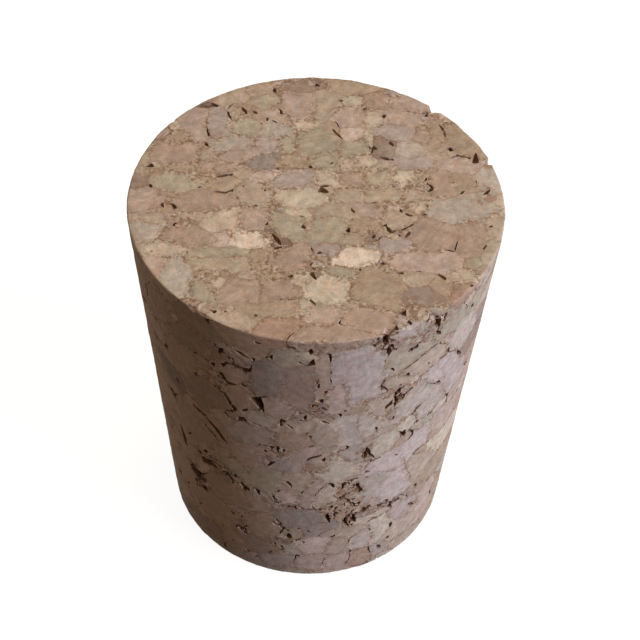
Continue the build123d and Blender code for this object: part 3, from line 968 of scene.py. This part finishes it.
CHIP_MARGIN = 0.35  # a point with a higher chip level than minus this gets the fine edge length
PORE_MARGIN = 0.9  # mm round a pore where its level is worked out too
REFINE_ROUNDS = 3
SEAM_BAND = 0.26  # this close to a border, triangles are cut down to the seam's edge length
FINE_EDGE, SEAM_EDGE, PLAIN_EDGE = 0.24, 0.39, 0.7  # mm, longer edges are halved each round
PORE_NEAR = -0.5  # a point with a higher pore level than this gets the fine edge length
SHUT = -10.0  # the level of a point that lies near no cut
BACK_SHYNESS = -0.1  # the back has no chosen pores, so its seams open more often
FACE_SHYNESS = 0.3  # how much less often seams stand open on the wide face
BACK_STARTS = 2  # mm behind the middle
CORNERED = 0.6  # how much of a three-cornered pore's shape is its corners, the rest being round
PORE_WALL, WALL_CURVE = 0.45, 0.7  # the level where a pore has its full depth, and how its wall curves
MIN_SHARE = 0.12  # a cut keeps this share of an edge from the edge's ends
NEAR_CUT = 0.27  # a point nearer to a cut than this share of its edge moves onto it


def chip_level(points, crooked):
    """How deep inside a rim chip each point lies (positive inside), and the way it has to go in."""
    level = np.full(len(points), SHUT)
    reach = np.zeros(len(points))
    turn = np.degrees(np.arctan2(crooked[:, 1], crooked[:, 0]))
    inwards = WIDE_RADIUS - np.hypot(points[:, 0], points[:, 1])
    down = LENGTH - points[:, 2]
    for angle, width, bite_in, bite_down in RIM_CHIPS:
        along = np.radians((turn - angle + 180) % 360 - 180) * WIDE_RADIUS
        inside = 1 - np.abs(along) / (width / 2) - inwards / bite_in - down / bite_down
        travel = inside / (1 / bite_in + 1 / bite_down)
        level = np.maximum(level, inside)
        reach = np.maximum(reach, travel)
    return level, reach


# Where each list of pores lies, and what its sizes and its depths are taken times
PORE_LISTS = [(face_place, FACE_PORES, 0.88, 0.6), (side_place, SIDE_PORES, 1.0, 1.0)]


def listed_pores():
    """Every chosen pore: middle, axes, half-length, half-width, depth and corners."""
    pores = []
    for place, rows, slim, shallow in PORE_LISTS:
        for first, second, length, width, depth, heading, corners in rows:
            middle, axes = place(first, second, heading)
            pores.append((middle, axes, slim * length / 2, slim * width / 2, shallow * depth, corners))
    return pores


def pore_level(points, pores):
    """How far inside a chosen pore each point lies (positive inside, 1 in the middle), and its depth."""
    level, deep = np.full(len(points), SHUT), np.zeros(len(points))
    for middle, axes, half_length, half_width, depth, corners in pores:
        reach = max(half_length, half_width) + PORE_MARGIN
        near = np.nonzero(((points - middle) ** 2).sum(1) < reach**2)[0]
        local = (points[near] - middle) @ axes.T
        u, v = local[:, 0] / half_length, local[:, 1] / half_width
        if corners == 3:
            sides = [u * math.cos(k) + v * math.sin(k) for k in np.radians((60, 180, 300))]
            inside = 1 - CORNERED * 2 * np.maximum.reduce(sides) - (1 - CORNERED) * np.hypot(u, v)
        else:
            inside = 1 - np.abs(v) - u * u
        better = inside > level[near]
        level[near[better]] = inside[better]
        deep[near[better]] = depth
    return level, deep


def draw(a, b, salt):
    """A number from 0 to 1 that two granules share, the same whichever comes first."""
    low, high = np.minimum(a, b), np.maximum(a, b)
    value = np.sin(low * 12.9898 + high * 78.233 + salt * 37.719) * 43758.5453
    return value - np.floor(value)


SEAMS_SHUT, GAPS_SHUT = 0.66, 0.6  # drift aside, the chance that a seam, or a corner of three, stays shut
SEAM_DRIFT, GAP_DRIFT = 0.9, 0.25  # how strongly open seams and corners gather in the same places
DRIFT_OFTEN, DRIFT_SHIFT = 0.45, Vector((9, 2, 5))
OPENING_RATE = 4
CRUMBS_SHUT = 0.08  # how much less often seams between crumbs stand open
SEAM_LEAST, SEAM_MORE = 0.05, 0.07  # half-width of an open seam in mm, and what chance adds
GAP_SIZE = 0.75
THINNEST_SEAM, SMALLEST_GAP = 0.012, 0.05  # mm, below which nothing opens
SEAM_DEPTH, GAP_DEPTH = 0.28, 0.35


def seam_level(points, labels, borders, granules):
    """How far inside an open seam or a gap between three granules each point lies, and its depth."""
    first, second, third = labels.T
    crumbly = np.maximum(granules.crumbly[first], granules.crumbly[second])
    drift = np.array([noise.noise(Vector(p) * DRIFT_OFTEN + DRIFT_SHIFT) for p in points])
    chance = draw(first, second, 1)
    back = np.where(points[:, 1] > BACK_STARTS, BACK_SHYNESS, 0)
    shy = np.where(points[:, 2] > LENGTH - 0.1, FACE_SHYNESS, back)
    opening = drift * SEAM_DRIFT + chance - SEAMS_SHUT - shy - CRUMBS_SHUT * crumbly
    open_share = np.clip(opening * OPENING_RATE, 0, 1)
    half_width = open_share * (SEAM_LEAST + SEAM_MORE * draw(first, second, 2))
    seam = np.where(half_width > THINNEST_SEAM, 1 - borders[0] / np.maximum(half_width, THINNEST_SEAM), SHUT)
    gap_opening = draw(first + second, third, 3) - GAPS_SHUT - shy + GAP_DRIFT * drift
    gap_size = np.maximum(gap_opening, 0) * GAP_SIZE
    outer = np.maximum(borders[0], borders[1])
    gap = np.where(gap_size > SMALLEST_GAP, 1 - outer / np.maximum(gap_size, SMALLEST_GAP), SHUT)
    level = np.maximum(seam, gap)
    depth = np.where(gap > seam, GAP_DEPTH + gap_size, SEAM_DEPTH + 2.0 * half_width)
    return level, depth


def carve(granules, pores):
    """The finished skin, with what each point and triangle needs for its relief and its looks."""
    skin = ground_blank()
    for _ in range(REFINE_ROUNDS):
        ends, edges_of = skin.edges()
        middles = skin.points[ends].mean(1)
        sizes = np.linalg.norm(skin.points[ends[:, 0]] - skin.points[ends[:, 1]], axis=1)
        crooked = wander(middles)
        _, borders = granules.nearest(crooked)
        pore, _ = pore_level(halfway(middles, crooked), pores)
        chip, _ = chip_level(middles, crooked)
        goal = np.where(borders[0] < SEAM_BAND, SEAM_EDGE, PLAIN_EDGE)
        goal = np.where((pore > PORE_NEAR) | (chip > -CHIP_MARGIN), FINE_EDGE, goal)
        skin.split(ends, edges_of, sizes > goal, np.full(len(ends), 0.5))
    cut_along(skin, chip_level(skin.points, wander(skin.points))[0])
    _, travel = chip_level(skin.points, wander(skin.points))
    around = skin.points[:, :2] / np.maximum(np.hypot(*skin.points[:, :2].T), 1e-6)[:, None]
    skin.points -= np.maximum(travel, 0)[:, None] * np.column_stack([around, np.ones(len(around))])
    cut_between(skin, granules)
    crooked = wander(skin.points)
    labels, borders = granules.nearest(crooked)
    pore, pore_depth = pore_level(halfway(skin.points, crooked), pores)
    seam, seam_depth = seam_level(skin.points, labels, borders, granules)
    level = np.maximum(pore, seam)
    depth = np.where(pore > seam, pore_depth, seam_depth)
    level, depth = cut_along(skin, level, depth)
    crooked = wander(skin.points)
    labels, borders = granules.nearest(crooked)
    skin.border = np.maximum(borders[0], 0)
    skin.hollow = np.where(level > 0, depth * np.clip(level / PORE_WALL, 0, 1) ** WALL_CURVE, 0)
    centroids = wander(skin.points[skin.corners].mean(1))
    skin.granule = granules.nearest(centroids)[0][:, 0]
    skin.rise = granules.tones[labels[:, 0]]
    return skin


def snap(skin, ends, marked, share):
    """Move points that lie close to a cut onto it, and say which points those are."""
    moved = np.zeros(len(skin.points), bool)
    best = np.full(len(skin.points), NEAR_CUT)
    target = skin.points.copy()
    for here, there, t in ((0, 1, share), (1, 0, 1 - share)):
        close = np.nonzero(marked & (t < NEAR_CUT))[0]
        close = close[np.argsort(-t[close])]
        a, b, t = ends[close, here], ends[close, there], t[close]
        target_of = skin.points[a] + (skin.points[b] - skin.points[a]) * t[:, None]
        better = t < best[a]
        a, t, target_of = a[better], t[better], target_of[better]
        target[a], best[a], moved[a] = target_of, t, True
    skin.points = target
    return moved


def cut_along(skin, level, *carried):
    """Cut the triangles where a value passes zero, and carry the values to the new points."""
    ends, edges_of = skin.edges()
    a, b = level[ends[:, 0]], level[ends[:, 1]]
    marked = a * b < 0
    share = a / np.where(marked, a - b, 1)
    moved = snap(skin, ends, marked, share)
    level = np.where(moved, 0, level)
    a, b = level[ends[:, 0]], level[ends[:, 1]]
    marked = a * b < 0
    skin.split(ends, edges_of, marked, np.clip(share, MIN_SHARE, 1 - MIN_SHARE))
    level = np.concatenate([level, np.zeros(marked.sum())])
    deeper = [np.concatenate([values, values[ends[marked]].max(1)]) for values in carried]
    return (level, *deeper)


def cut_between(skin, granules):
    """Cut the triangles along the borders between granules."""
    crooked = wander(skin.points)
    label = granules.nearest(crooked)[0][:, 0]
    ends, edges_of = skin.edges()
    a, b = ends.T
    marked = label[a] != label[b]
    at_a = granules.reach(crooked[a], label[b]) - granules.reach(crooked[a], label[a])
    at_b = granules.reach(crooked[b], label[a]) - granules.reach(crooked[b], label[b])
    share = at_a / np.maximum(at_a + at_b, 1e-9)
    moved = snap(skin, ends, marked, share)
    other = label.copy()
    for here, there, t in ((a, b, share), (b, a, 1 - share)):
        close = marked & (t < NEAR_CUT) & moved[here]
        close = np.nonzero(close)[0]
        close = close[np.argsort(-t[close])]
        other[here[close]] = label[there[close]]
    same = (label[a] == label[b]) | (other[a] == label[b]) | (label[a] == other[b])
    marked = ~(same | ((other[a] == other[b]) & moved[a] & moved[b]))
    skin.split(ends, edges_of, marked, np.clip(share, MIN_SHARE, 1 - MIN_SHARE))


# ---------------------------------------------------------------- the piece

MOST_BORDER = 3.0
LAYOUT_EDGE, LAYOUT_NEXT = 2, 5  # mm round the flat layout, and past one part of it to the next
FLAT_END = 0.7  # triangles that face up or down more than this belong to an end


def add_values(mesh, name, kind, domain, values):
    """A named value on the mesh, one for each point or triangle."""
    key = {"FLOAT": "value", "FLOAT_VECTOR": "vector", "FLOAT_COLOR": "color"}[kind]
    layer = mesh.attributes.new(name, kind, domain)
    layer.data.foreach_set(key, np.ascontiguousarray(values, dtype=np.float32).ravel())


def lay_out(skin, mesh):
    """The flat layout: the wide end, the narrow end, and the side unrolled in two halves."""
    points = skin.points[skin.corners]
    upright = skin.out[skin.corners].mean(1)[:, 2]
    middle = points.mean(1)
    turn = np.arctan2(middle[:, 1], middle[:, 0])
    corner_turn = np.arctan2(points[:, :, 1], points[:, :, 0])
    corner_turn = turn[:, None] + (corner_turn - turn[:, None] + math.pi) % (2 * math.pi) - math.pi
    front = turn < 0
    mean_radius = (WIDE_RADIUS + NARROW_RADIUS) / 2
    along = np.where(front[:, None], corner_turn + math.pi, corner_turn) * mean_radius
    lift = np.where(front, LAYOUT_EDGE, LENGTH + LAYOUT_NEXT)[:, None]
    flat = np.stack([along + LAYOUT_EDGE, points[:, :, 2] + lift], axis=2)
    left = math.pi * mean_radius + LAYOUT_NEXT + WIDE_RADIUS
    wide, narrow = upright > FLAT_END, upright < -FLAT_END
    flat[wide] = (points[:, :, :2] + (left, WIDE_RADIUS + LAYOUT_EDGE))[wide]
    flat[narrow] = (points[:, :, :2] * (-1, 1) + (left, 3 * WIDE_RADIUS + LAYOUT_NEXT))[narrow]
    layer = mesh.uv_layers.new(name="OFBake")
    layer.data.foreach_set("uv", (flat / (left + WIDE_RADIUS + LAYOUT_EDGE)).astype(np.float32).ravel())


def stopper_mesh(skin, granules):
    """A mesh of the finished skin, in metres, with all its values."""
    mesh = bpy.data.meshes.new("granulated_cork")
    count = len(skin.corners)
    mesh.vertices.add(len(skin.points))
    mesh.vertices.foreach_set("co", (skin.points * MM).astype(np.float32).ravel())
    mesh.loops.add(3 * count)
    mesh.loops.foreach_set("vertex_index", skin.corners.astype(np.int32).ravel())
    mesh.polygons.add(count)
    mesh.polygons.foreach_set("loop_start", np.arange(0, 3 * count, 3, dtype=np.int32))
    mesh.update(calc_edges=True)
    add_values(mesh, "inward", "FLOAT_VECTOR", "POINT", -skin.out)
    add_values(mesh, "border", "FLOAT", "POINT", np.minimum(skin.border, MOST_BORDER))
    add_values(mesh, "hollow", "FLOAT", "POINT", skin.hollow)
    add_values(mesh, "rise", "FLOAT", "POINT", skin.rise)
    colours = np.column_stack([granules.colours[skin.granule], np.ones(count)])
    add_values(mesh, "shade", "FLOAT_COLOR", "FACE", colours)
    add_values(mesh, "grain", "FLOAT_VECTOR", "FACE", granules.grains[skin.granule])
    lay_out(skin, mesh)
    return mesh


class Tree:
    """Short calls for building a node tree."""

    def __init__(self, tree):
        self.tree = tree

    def add(self, kind, *inputs, **settings):
        """A node with its settings; each input is a socket to join or a value, None is left alone."""
        node = self.tree.nodes.new(kind)
        for name, value in settings.items():
            setattr(node, name, value)
        for socket, value in zip([s for s in node.inputs if s.enabled], inputs):
            self.join(socket, value)
        return node

    def join(self, socket, value):
        """Link a socket to an input, or set the input's value."""
        if isinstance(value, bpy.types.NodeSocket):
            self.tree.links.new(value, socket)
        elif value is not None:
            socket.default_value = value

    def math(self, operation, *inputs, clamp=False):
        """The result of a sum on numbers."""
        return self.add("ShaderNodeMath", *inputs, operation=operation, use_clamp=clamp).outputs[0]

    def vector(self, operation, *inputs):
        """The result of a sum on vectors."""
        node = self.add("ShaderNodeVectorMath", *inputs, operation=operation)
        return [s for s in node.outputs if s.enabled][0]

    def ramp(self, value, low, high, to_low=0.0, to_high=1.0, soft=True):
        """A value moved from one range to another."""
        shape = "SMOOTHSTEP" if soft else "LINEAR"
        ends = (low, high, to_low, to_high)
        return self.add("ShaderNodeMapRange", value, *ends, interpolation_type=shape).outputs[0]

    def mix(self, share, first, second, blend="MIX"):
        """Two colours mixed."""
        node = self.tree.nodes.new("ShaderNodeMix")
        node.data_type, node.blend_type = "RGBA", blend
        for socket, value in ((node.inputs[0], share), (node.inputs[6], first), (node.inputs[7], second)):
            self.join(socket, value)
        return node.outputs[2]


RELIEF_SIZES = [
    ("Pore Depth", 1.0),
    ("Seam Depth", 0.035),
    ("Seam Width", 0.14),
    ("Granule Step", 0.05),
    ("Ripple", 0.045),
    ("Ripple Size", 0.55),
]


def relief_tree():
    """Presses pores, seams, steps and ripples into the skin along its inward ways, sizes in mm."""
    group = bpy.data.node_groups.new("cork_relief", "GeometryNodeTree")
    sizes = group.interface
    sizes.new_socket("Geometry", in_out="INPUT", socket_type="NodeSocketGeometry")
    for name, size in RELIEF_SIZES:
        sizes.new_socket(name, in_out="INPUT", socket_type="NodeSocketFloat").default_value = size
    sizes.new_socket("Seed", in_out="INPUT", socket_type="NodeSocketInt").default_value = SEED
    sizes.new_socket("Material", in_out="INPUT", socket_type="NodeSocketMaterial")
    sizes.new_socket("Geometry", in_out="OUTPUT", socket_type="NodeSocketGeometry")
    tree = Tree(group)
    given = tree.add("NodeGroupInput").outputs

    def value(name, kind="FLOAT"):
        node = tree.add("GeometryNodeInputNamedAttribute", name, data_type=kind)
        return [s for s in node.outputs if s.enabled][0]

    seam = tree.math("SUBTRACT", 1.0, tree.math("DIVIDE", value("border"), given["Seam Width"], clamp=True))
    groove = tree.math("MULTIPLY", tree.math("MULTIPLY", seam, seam), given["Seam Depth"])
    pore = tree.math("MULTIPLY", value("hollow"), given["Pore Depth"])
    flat = tree.math("SUBTRACT", 1.0, seam)
    step = tree.math("MULTIPLY", tree.math("MULTIPLY", value("rise"), given["Granule Step"]), flat)
    place = tree.vector("SCALE", tree.add("GeometryNodeInputPosition").outputs[0], None, None)
    place.node.inputs["Scale"].default_value = 1 / MM
    frequency = tree.math("DIVIDE", 1.0, given["Ripple Size"])
    waves = tree.add("ShaderNodeTexNoise", noise_dimensions="4D")
    tree.join(waves.inputs["Vector"], place)
    tree.join(waves.inputs["W"], tree.math("MULTIPLY", given["Seed"], 1.7))
    tree.join(waves.inputs["Scale"], frequency)
    waves.inputs["Detail"].default_value = 3.0
    waves.inputs["Roughness"].default_value = 0.6
    ripple = tree.math("MULTIPLY", tree.ramp(waves.outputs["Fac"], 0.3, 0.7), given["Ripple"])
    depth = tree.math("ADD", tree.math("ADD", groove, pore), tree.math("ADD", step, ripple))
    offset = tree.vector("SCALE", value("inward", "FLOAT_VECTOR"), None, None)
    tree.join(offset.node.inputs["Scale"], tree.math("MULTIPLY", depth, MM))
    moved = tree.add("GeometryNodeSetPosition", given["Geometry"])
    tree.join(moved.inputs["Offset"], offset)
    real = tree.add("GeometryNodeRealizeInstances", moved.outputs[0])
    painted = tree.add("GeometryNodeSetMaterial", real.outputs[0])
    tree.join(painted.inputs["Material"], given["Material"])
    tree.add("NodeGroupOutput", painted.outputs[0])
    return group


SHARP_ANGLE = 38  # edges that turn by more degrees than this stay crisp


def press(blank, material):
    """Run the relief tree on the piece and leave it a plain mesh object."""
    group = relief_tree()
    modifier = blank.modifiers.new("relief", "NODES")
    modifier.node_group = group
    sockets = {item.name: item.identifier for item in group.interface.items_tree if item.in_out == "INPUT"}
    for name, size in RELIEF_SIZES:
        modifier[sockets[name]] = size
    modifier[sockets["Seed"]] = SEED
    modifier[sockets["Material"]] = material
    graph = bpy.context.evaluated_depsgraph_get()
    settled = blank.evaluated_get(graph)
    mesh = bpy.data.meshes.new_from_object(settled, preserve_all_data_layers=True, depsgraph=graph)
    blank.modifiers.clear()
    blank.data = mesh
    mesh.shade_smooth()
    mesh.set_sharp_from_angle(angle=math.radians(SHARP_ANGLE))


# ---------------------------------------------------------------- the cork itself

PORE_LIP = (126, 90, 63)
# deep pore colour: the brown of the pore linings, darkened further as painted shade
PORE_FLOOR_DUST_AND_SHADE = (46, 29, 20)
SEAM_BROWN = (122, 87, 60)
DUST_BROWN = (122, 86, 57)
PALE_CRUMB = (204, 182, 154)
WARM_TINT = (255, 226, 205)


def colour(shade):
    """A shader colour from sRGB bytes."""
    return (*srgb_to_linear(shade).tolist(), 1.0)


def cork_material():
    """Agglomerated cork: granules in their own shades, growth lines, flecks, brown seams, and pores brown at
    the lip and darker with depth, the darkening partly painted shade.
    """
    material = bpy.data.materials.new("cork")
    material.use_nodes = True
    material.node_tree.nodes.clear()
    tree = Tree(material.node_tree)

    def value(name, output="Fac"):
        return tree.add("ShaderNodeAttribute", attribute_name=name).outputs[output]

    def waves(place, scale, detail=3.0, rough=0.55, dimensions="3D"):
        node = tree.add("ShaderNodeTexNoise", noise_dimensions=dimensions)
        tree.join(node.inputs["W" if dimensions == "1D" else "Vector"], place)
        node.inputs["Scale"].default_value = scale
        node.inputs["Detail"].default_value = detail
        node.inputs["Roughness"].default_value = rough
        return node.outputs["Fac"]

    place = tree.vector("SCALE", tree.add("ShaderNodeTexCoord").outputs["Object"], None, None)
    place.node.inputs["Scale"].default_value = 1 / MM
    shade, grain = value("shade", "Color"), value("grain", "Vector")
    border, hollow = value("border"), value("hollow")
    bend = tree.math("MULTIPLY", waves(place, 0.4), 1.1)
    along = tree.math("ADD", tree.vector("DOT_PRODUCT", place, grain), bend)
    rings = waves(along, 2.1, 2.0, 0.6, "1D")
    growth = tree.ramp(rings, 0.36, 0.66, 0.94, 1.03)
    mottle = tree.ramp(waves(place, 0.8, 4.0, 0.6), 0.3, 0.7, 0.88, 1.1, soft=False)
    cells = waves(place, 7.0, 3.0, 0.65)
    fleck = tree.ramp(cells, 0.3, 0.72, 0.86, 1.12, soft=False)
    patch = tree.ramp(waves(place, 1.7, 4.0, 0.6), 0.32, 0.68, 0.86, 1.14)
    tint = tree.math("MULTIPLY", tree.math("MULTIPLY", growth, mottle), tree.math("MULTIPLY", fleck, patch))
    base = tree.vector("SCALE", shade, None, None)
    tree.join(base.node.inputs["Scale"], tint)
    warm = tree.ramp(waves(place, 1.3, 2.0), 0.4, 0.7, 0.0, 0.35)
    base = tree.mix(warm, base, tree.mix(1.0, base, colour(WARM_TINT), "MULTIPLY"))
    specks = tree.ramp(waves(place, 2.6, 3.0, 0.7), 0.66, 0.74)
    base = tree.mix(tree.math("MULTIPLY", specks, 0.55), base, colour(SEAM_BROWN))
    wobble = tree.ramp(waves(place, 1.1, 2.0), 0.35, 0.65, 0.04, 0.14)
    line = tree.math("SUBTRACT", 1.0, tree.math("DIVIDE", border, wobble, clamp=True))
    strength = tree.ramp(waves(place, 0.7, 2.0), 0.36, 0.62, 0.06, 0.65)
    base = tree.mix(tree.math("MULTIPLY", line, strength), base, colour(SEAM_BROWN))
    near = tree.math("SUBTRACT", 1.0, tree.math("DIVIDE", border, 0.5, clamp=True))
    near = tree.math("POWER", near, 0.7)
    zone = tree.ramp(waves(place, 0.3, 2.0), 0.4, 0.56, 0.3, 1.0)
    dusty = tree.math("MULTIPLY", near, zone)
    grit = tree.ramp(waves(place, 2.9, 4.0, 0.65), 0.44, 0.6, 0.0, 1.0)
    base = tree.mix(tree.math("MULTIPLY", dusty, grit), base, colour(DUST_BROWN))
    pale = tree.ramp(waves(place, 3.7, 3.0, 0.6), 0.54, 0.7, 0.0, 0.7)
    base = tree.mix(tree.math("MULTIPLY", dusty, pale), base, colour(PALE_CRUMB))
    inside = tree.ramp(hollow, 0.02, 0.12)
    # pores turn from their brown lip to a dark floor with depth: partly the lining's own brown, partly
    # painted shade
    deep = tree.ramp(hollow, 0.18, 0.8)
    wall = tree.mix(deep, colour(PORE_LIP), colour(PORE_FLOOR_DUST_AND_SHADE))
    base = tree.mix(inside, base, wall)
    height = tree.math("ADD", tree.math("MULTIPLY", cells, 0.6), tree.math("MULTIPLY", rings, 0.5))
    bump = tree.add("ShaderNodeBump")
    bump.inputs["Strength"].default_value = 0.55
    bump.inputs["Distance"].default_value = 0.06 * MM
    tree.join(bump.inputs["Height"], height)
    shader = tree.add("ShaderNodeBsdfPrincipled")
    tree.join(shader.inputs["Base Color"], base)
    tree.join(shader.inputs["Roughness"], tree.ramp(cells, 0.3, 0.7, 0.78, 0.95, soft=False))
    shader.inputs["Specular IOR Level"].default_value = 0.25
    tree.join(shader.inputs["Normal"], bump.outputs[0])
    tree.add("ShaderNodeOutputMaterial", shader.outputs[0])
    return material


# ---------------------------------------------------------------- studio

CAMERA_RISE = 48.858  # degrees above level
CAMERA_ROLL = 1.966  # degrees
CAMERA_AWAY = 166.88  # mm from the stopper's middle
CAMERA_LENS = 98.87  # mm
CAMERA_SHIFT = (0.0134, 0.0375)


def add_camera():
    """A camera at the stopper's viewing angle."""
    camera = bpy.data.objects.new("camera", bpy.data.cameras.new("camera"))
    rise, roll = math.radians(CAMERA_RISE), math.radians(CAMERA_ROLL)
    back = Vector((0, -math.cos(rise), math.sin(rise)))
    right, up = Vector((1, 0, 0)), Vector((0, math.sin(rise), math.cos(rise)))
    level = right * math.cos(roll) + up * math.sin(roll)
    upright = up * math.cos(roll) - right * math.sin(roll)
    turn = Matrix((level, upright, back)).transposed().to_4x4()
    middle = Vector((0, 0, LENGTH / 2))
    camera.matrix_world = Matrix.Translation((middle + back * CAMERA_AWAY) * MM) @ turn
    camera.data.lens = CAMERA_LENS
    camera.data.shift_x, camera.data.shift_y = CAMERA_SHIFT
    camera.data.clip_start = 0.005
    bpy.context.scene.collection.objects.link(camera)
    bpy.context.scene.camera = camera


def add_lamp(name, turn, rise, away, size, strength, shade):
    """A square soft lamp aimed at the stopper. Turn and rise are in degrees, away and size in mm."""
    lamp = bpy.data.lights.new(name, "AREA")
    lamp.size = size * MM
    lamp.energy = strength
    lamp.color = colour(shade)[:3]
    swing, lift = math.radians(turn), math.radians(rise)
    way = Vector((math.cos(swing) * math.cos(lift), math.sin(swing) * math.cos(lift), math.sin(lift)))
    holder = bpy.data.objects.new(name, lamp)
    aim = way.to_track_quat("Z", "Y").to_matrix().to_4x4()
    holder.matrix_world = Matrix.Translation((way * away + Vector((0, 0, LENGTH / 2))) * MM) @ aim
    bpy.context.scene.collection.objects.link(holder)


def where_seen(tree):
    """1 for rays from the camera, a gloss or glass, and 0 for those that only carry light."""
    path = tree.add("ShaderNodeLightPath").outputs
    seen = tree.math("MAXIMUM", path["Is Camera Ray"], path["Is Glossy Ray"])
    return tree.math("MAXIMUM", seen, path["Is Transmission Ray"])


def white_where_seen(tree, shader, strength):
    """The shader with a white glow that only the camera, mirrors and glass see."""
    glow = tree.add("ShaderNodeEmission", (1, 1, 1, 1), strength)
    both = tree.add("ShaderNodeAddShader", shader, glow.outputs[0])
    return tree.add("ShaderNodeMixShader", where_seen(tree), shader, both.outputs[0]).outputs[0]


TABLE_REACH = 1.2
TABLE_BOUNCE = (122, 107, 94)  # the colour of the light that comes back off the table
TABLE_GLOW = 0.93


def add_floor():
    """A wide table top at the height of the narrow end, white where it is seen."""
    mesh = bpy.data.meshes.new("table_top")
    corners = [(x * TABLE_REACH, y * TABLE_REACH, 0) for x, y in ((-1, -1), (1, -1), (1, 1), (-1, 1))]
    mesh.from_pydata(corners, [], [(0, 1, 2, 3)])
    table = bpy.data.objects.new("table_top", mesh)
    bpy.context.scene.collection.objects.link(table)
    material = bpy.data.materials.new("white_table")
    material.use_nodes = True
    material.node_tree.nodes.clear()
    tree = Tree(material.node_tree)
    matt = tree.add("ShaderNodeBsdfDiffuse", colour(TABLE_BOUNCE))
    tree.add("ShaderNodeOutputMaterial", white_where_seen(tree, matt.outputs[0], TABLE_GLOW))
    mesh.materials.append(material)


ROOM_SHADE = (255, 226, 196)
ROOM_LIGHT = 0.12


def add_world():
    """Even pale light from all round, white where it is seen."""
    world = bpy.data.worlds.new("studio")
    bpy.context.scene.world = world
    world.use_nodes = True
    world.node_tree.nodes.clear()
    tree = Tree(world.node_tree)
    light = tree.add("ShaderNodeBackground", colour(ROOM_SHADE), ROOM_LIGHT)
    white = tree.add("ShaderNodeBackground", (1, 1, 1, 1), 1.0)
    mixed = tree.add("ShaderNodeMixShader", where_seen(tree), light.outputs[0], white.outputs[0])
    tree.add("ShaderNodeOutputWorld", mixed.outputs[0])


# ---------------------------------------------------------------- put together


def make_stopper():
    """The granulated stopper, riding on the CAD body in place of the plain plug."""
    granules = pack_granules()
    skin = carve(granules, listed_pores())
    piece = bpy.data.objects.new("cork_granules", stopper_mesh(skin, granules))
    bpy.context.scene.collection.objects.link(piece)
    press(piece, cork_material())
    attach(piece, "root")
    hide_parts(NODE)


make_stopper()
add_floor()
add_world()
add_lamp("window", -25, 20, 700, 420, 8.8, (202, 220, 255))
add_lamp("ceiling", 90, 84, 700, 260, 2.95, (252, 252, 240))
add_camera()
bpy.context.scene.view_settings.view_transform = "Standard"
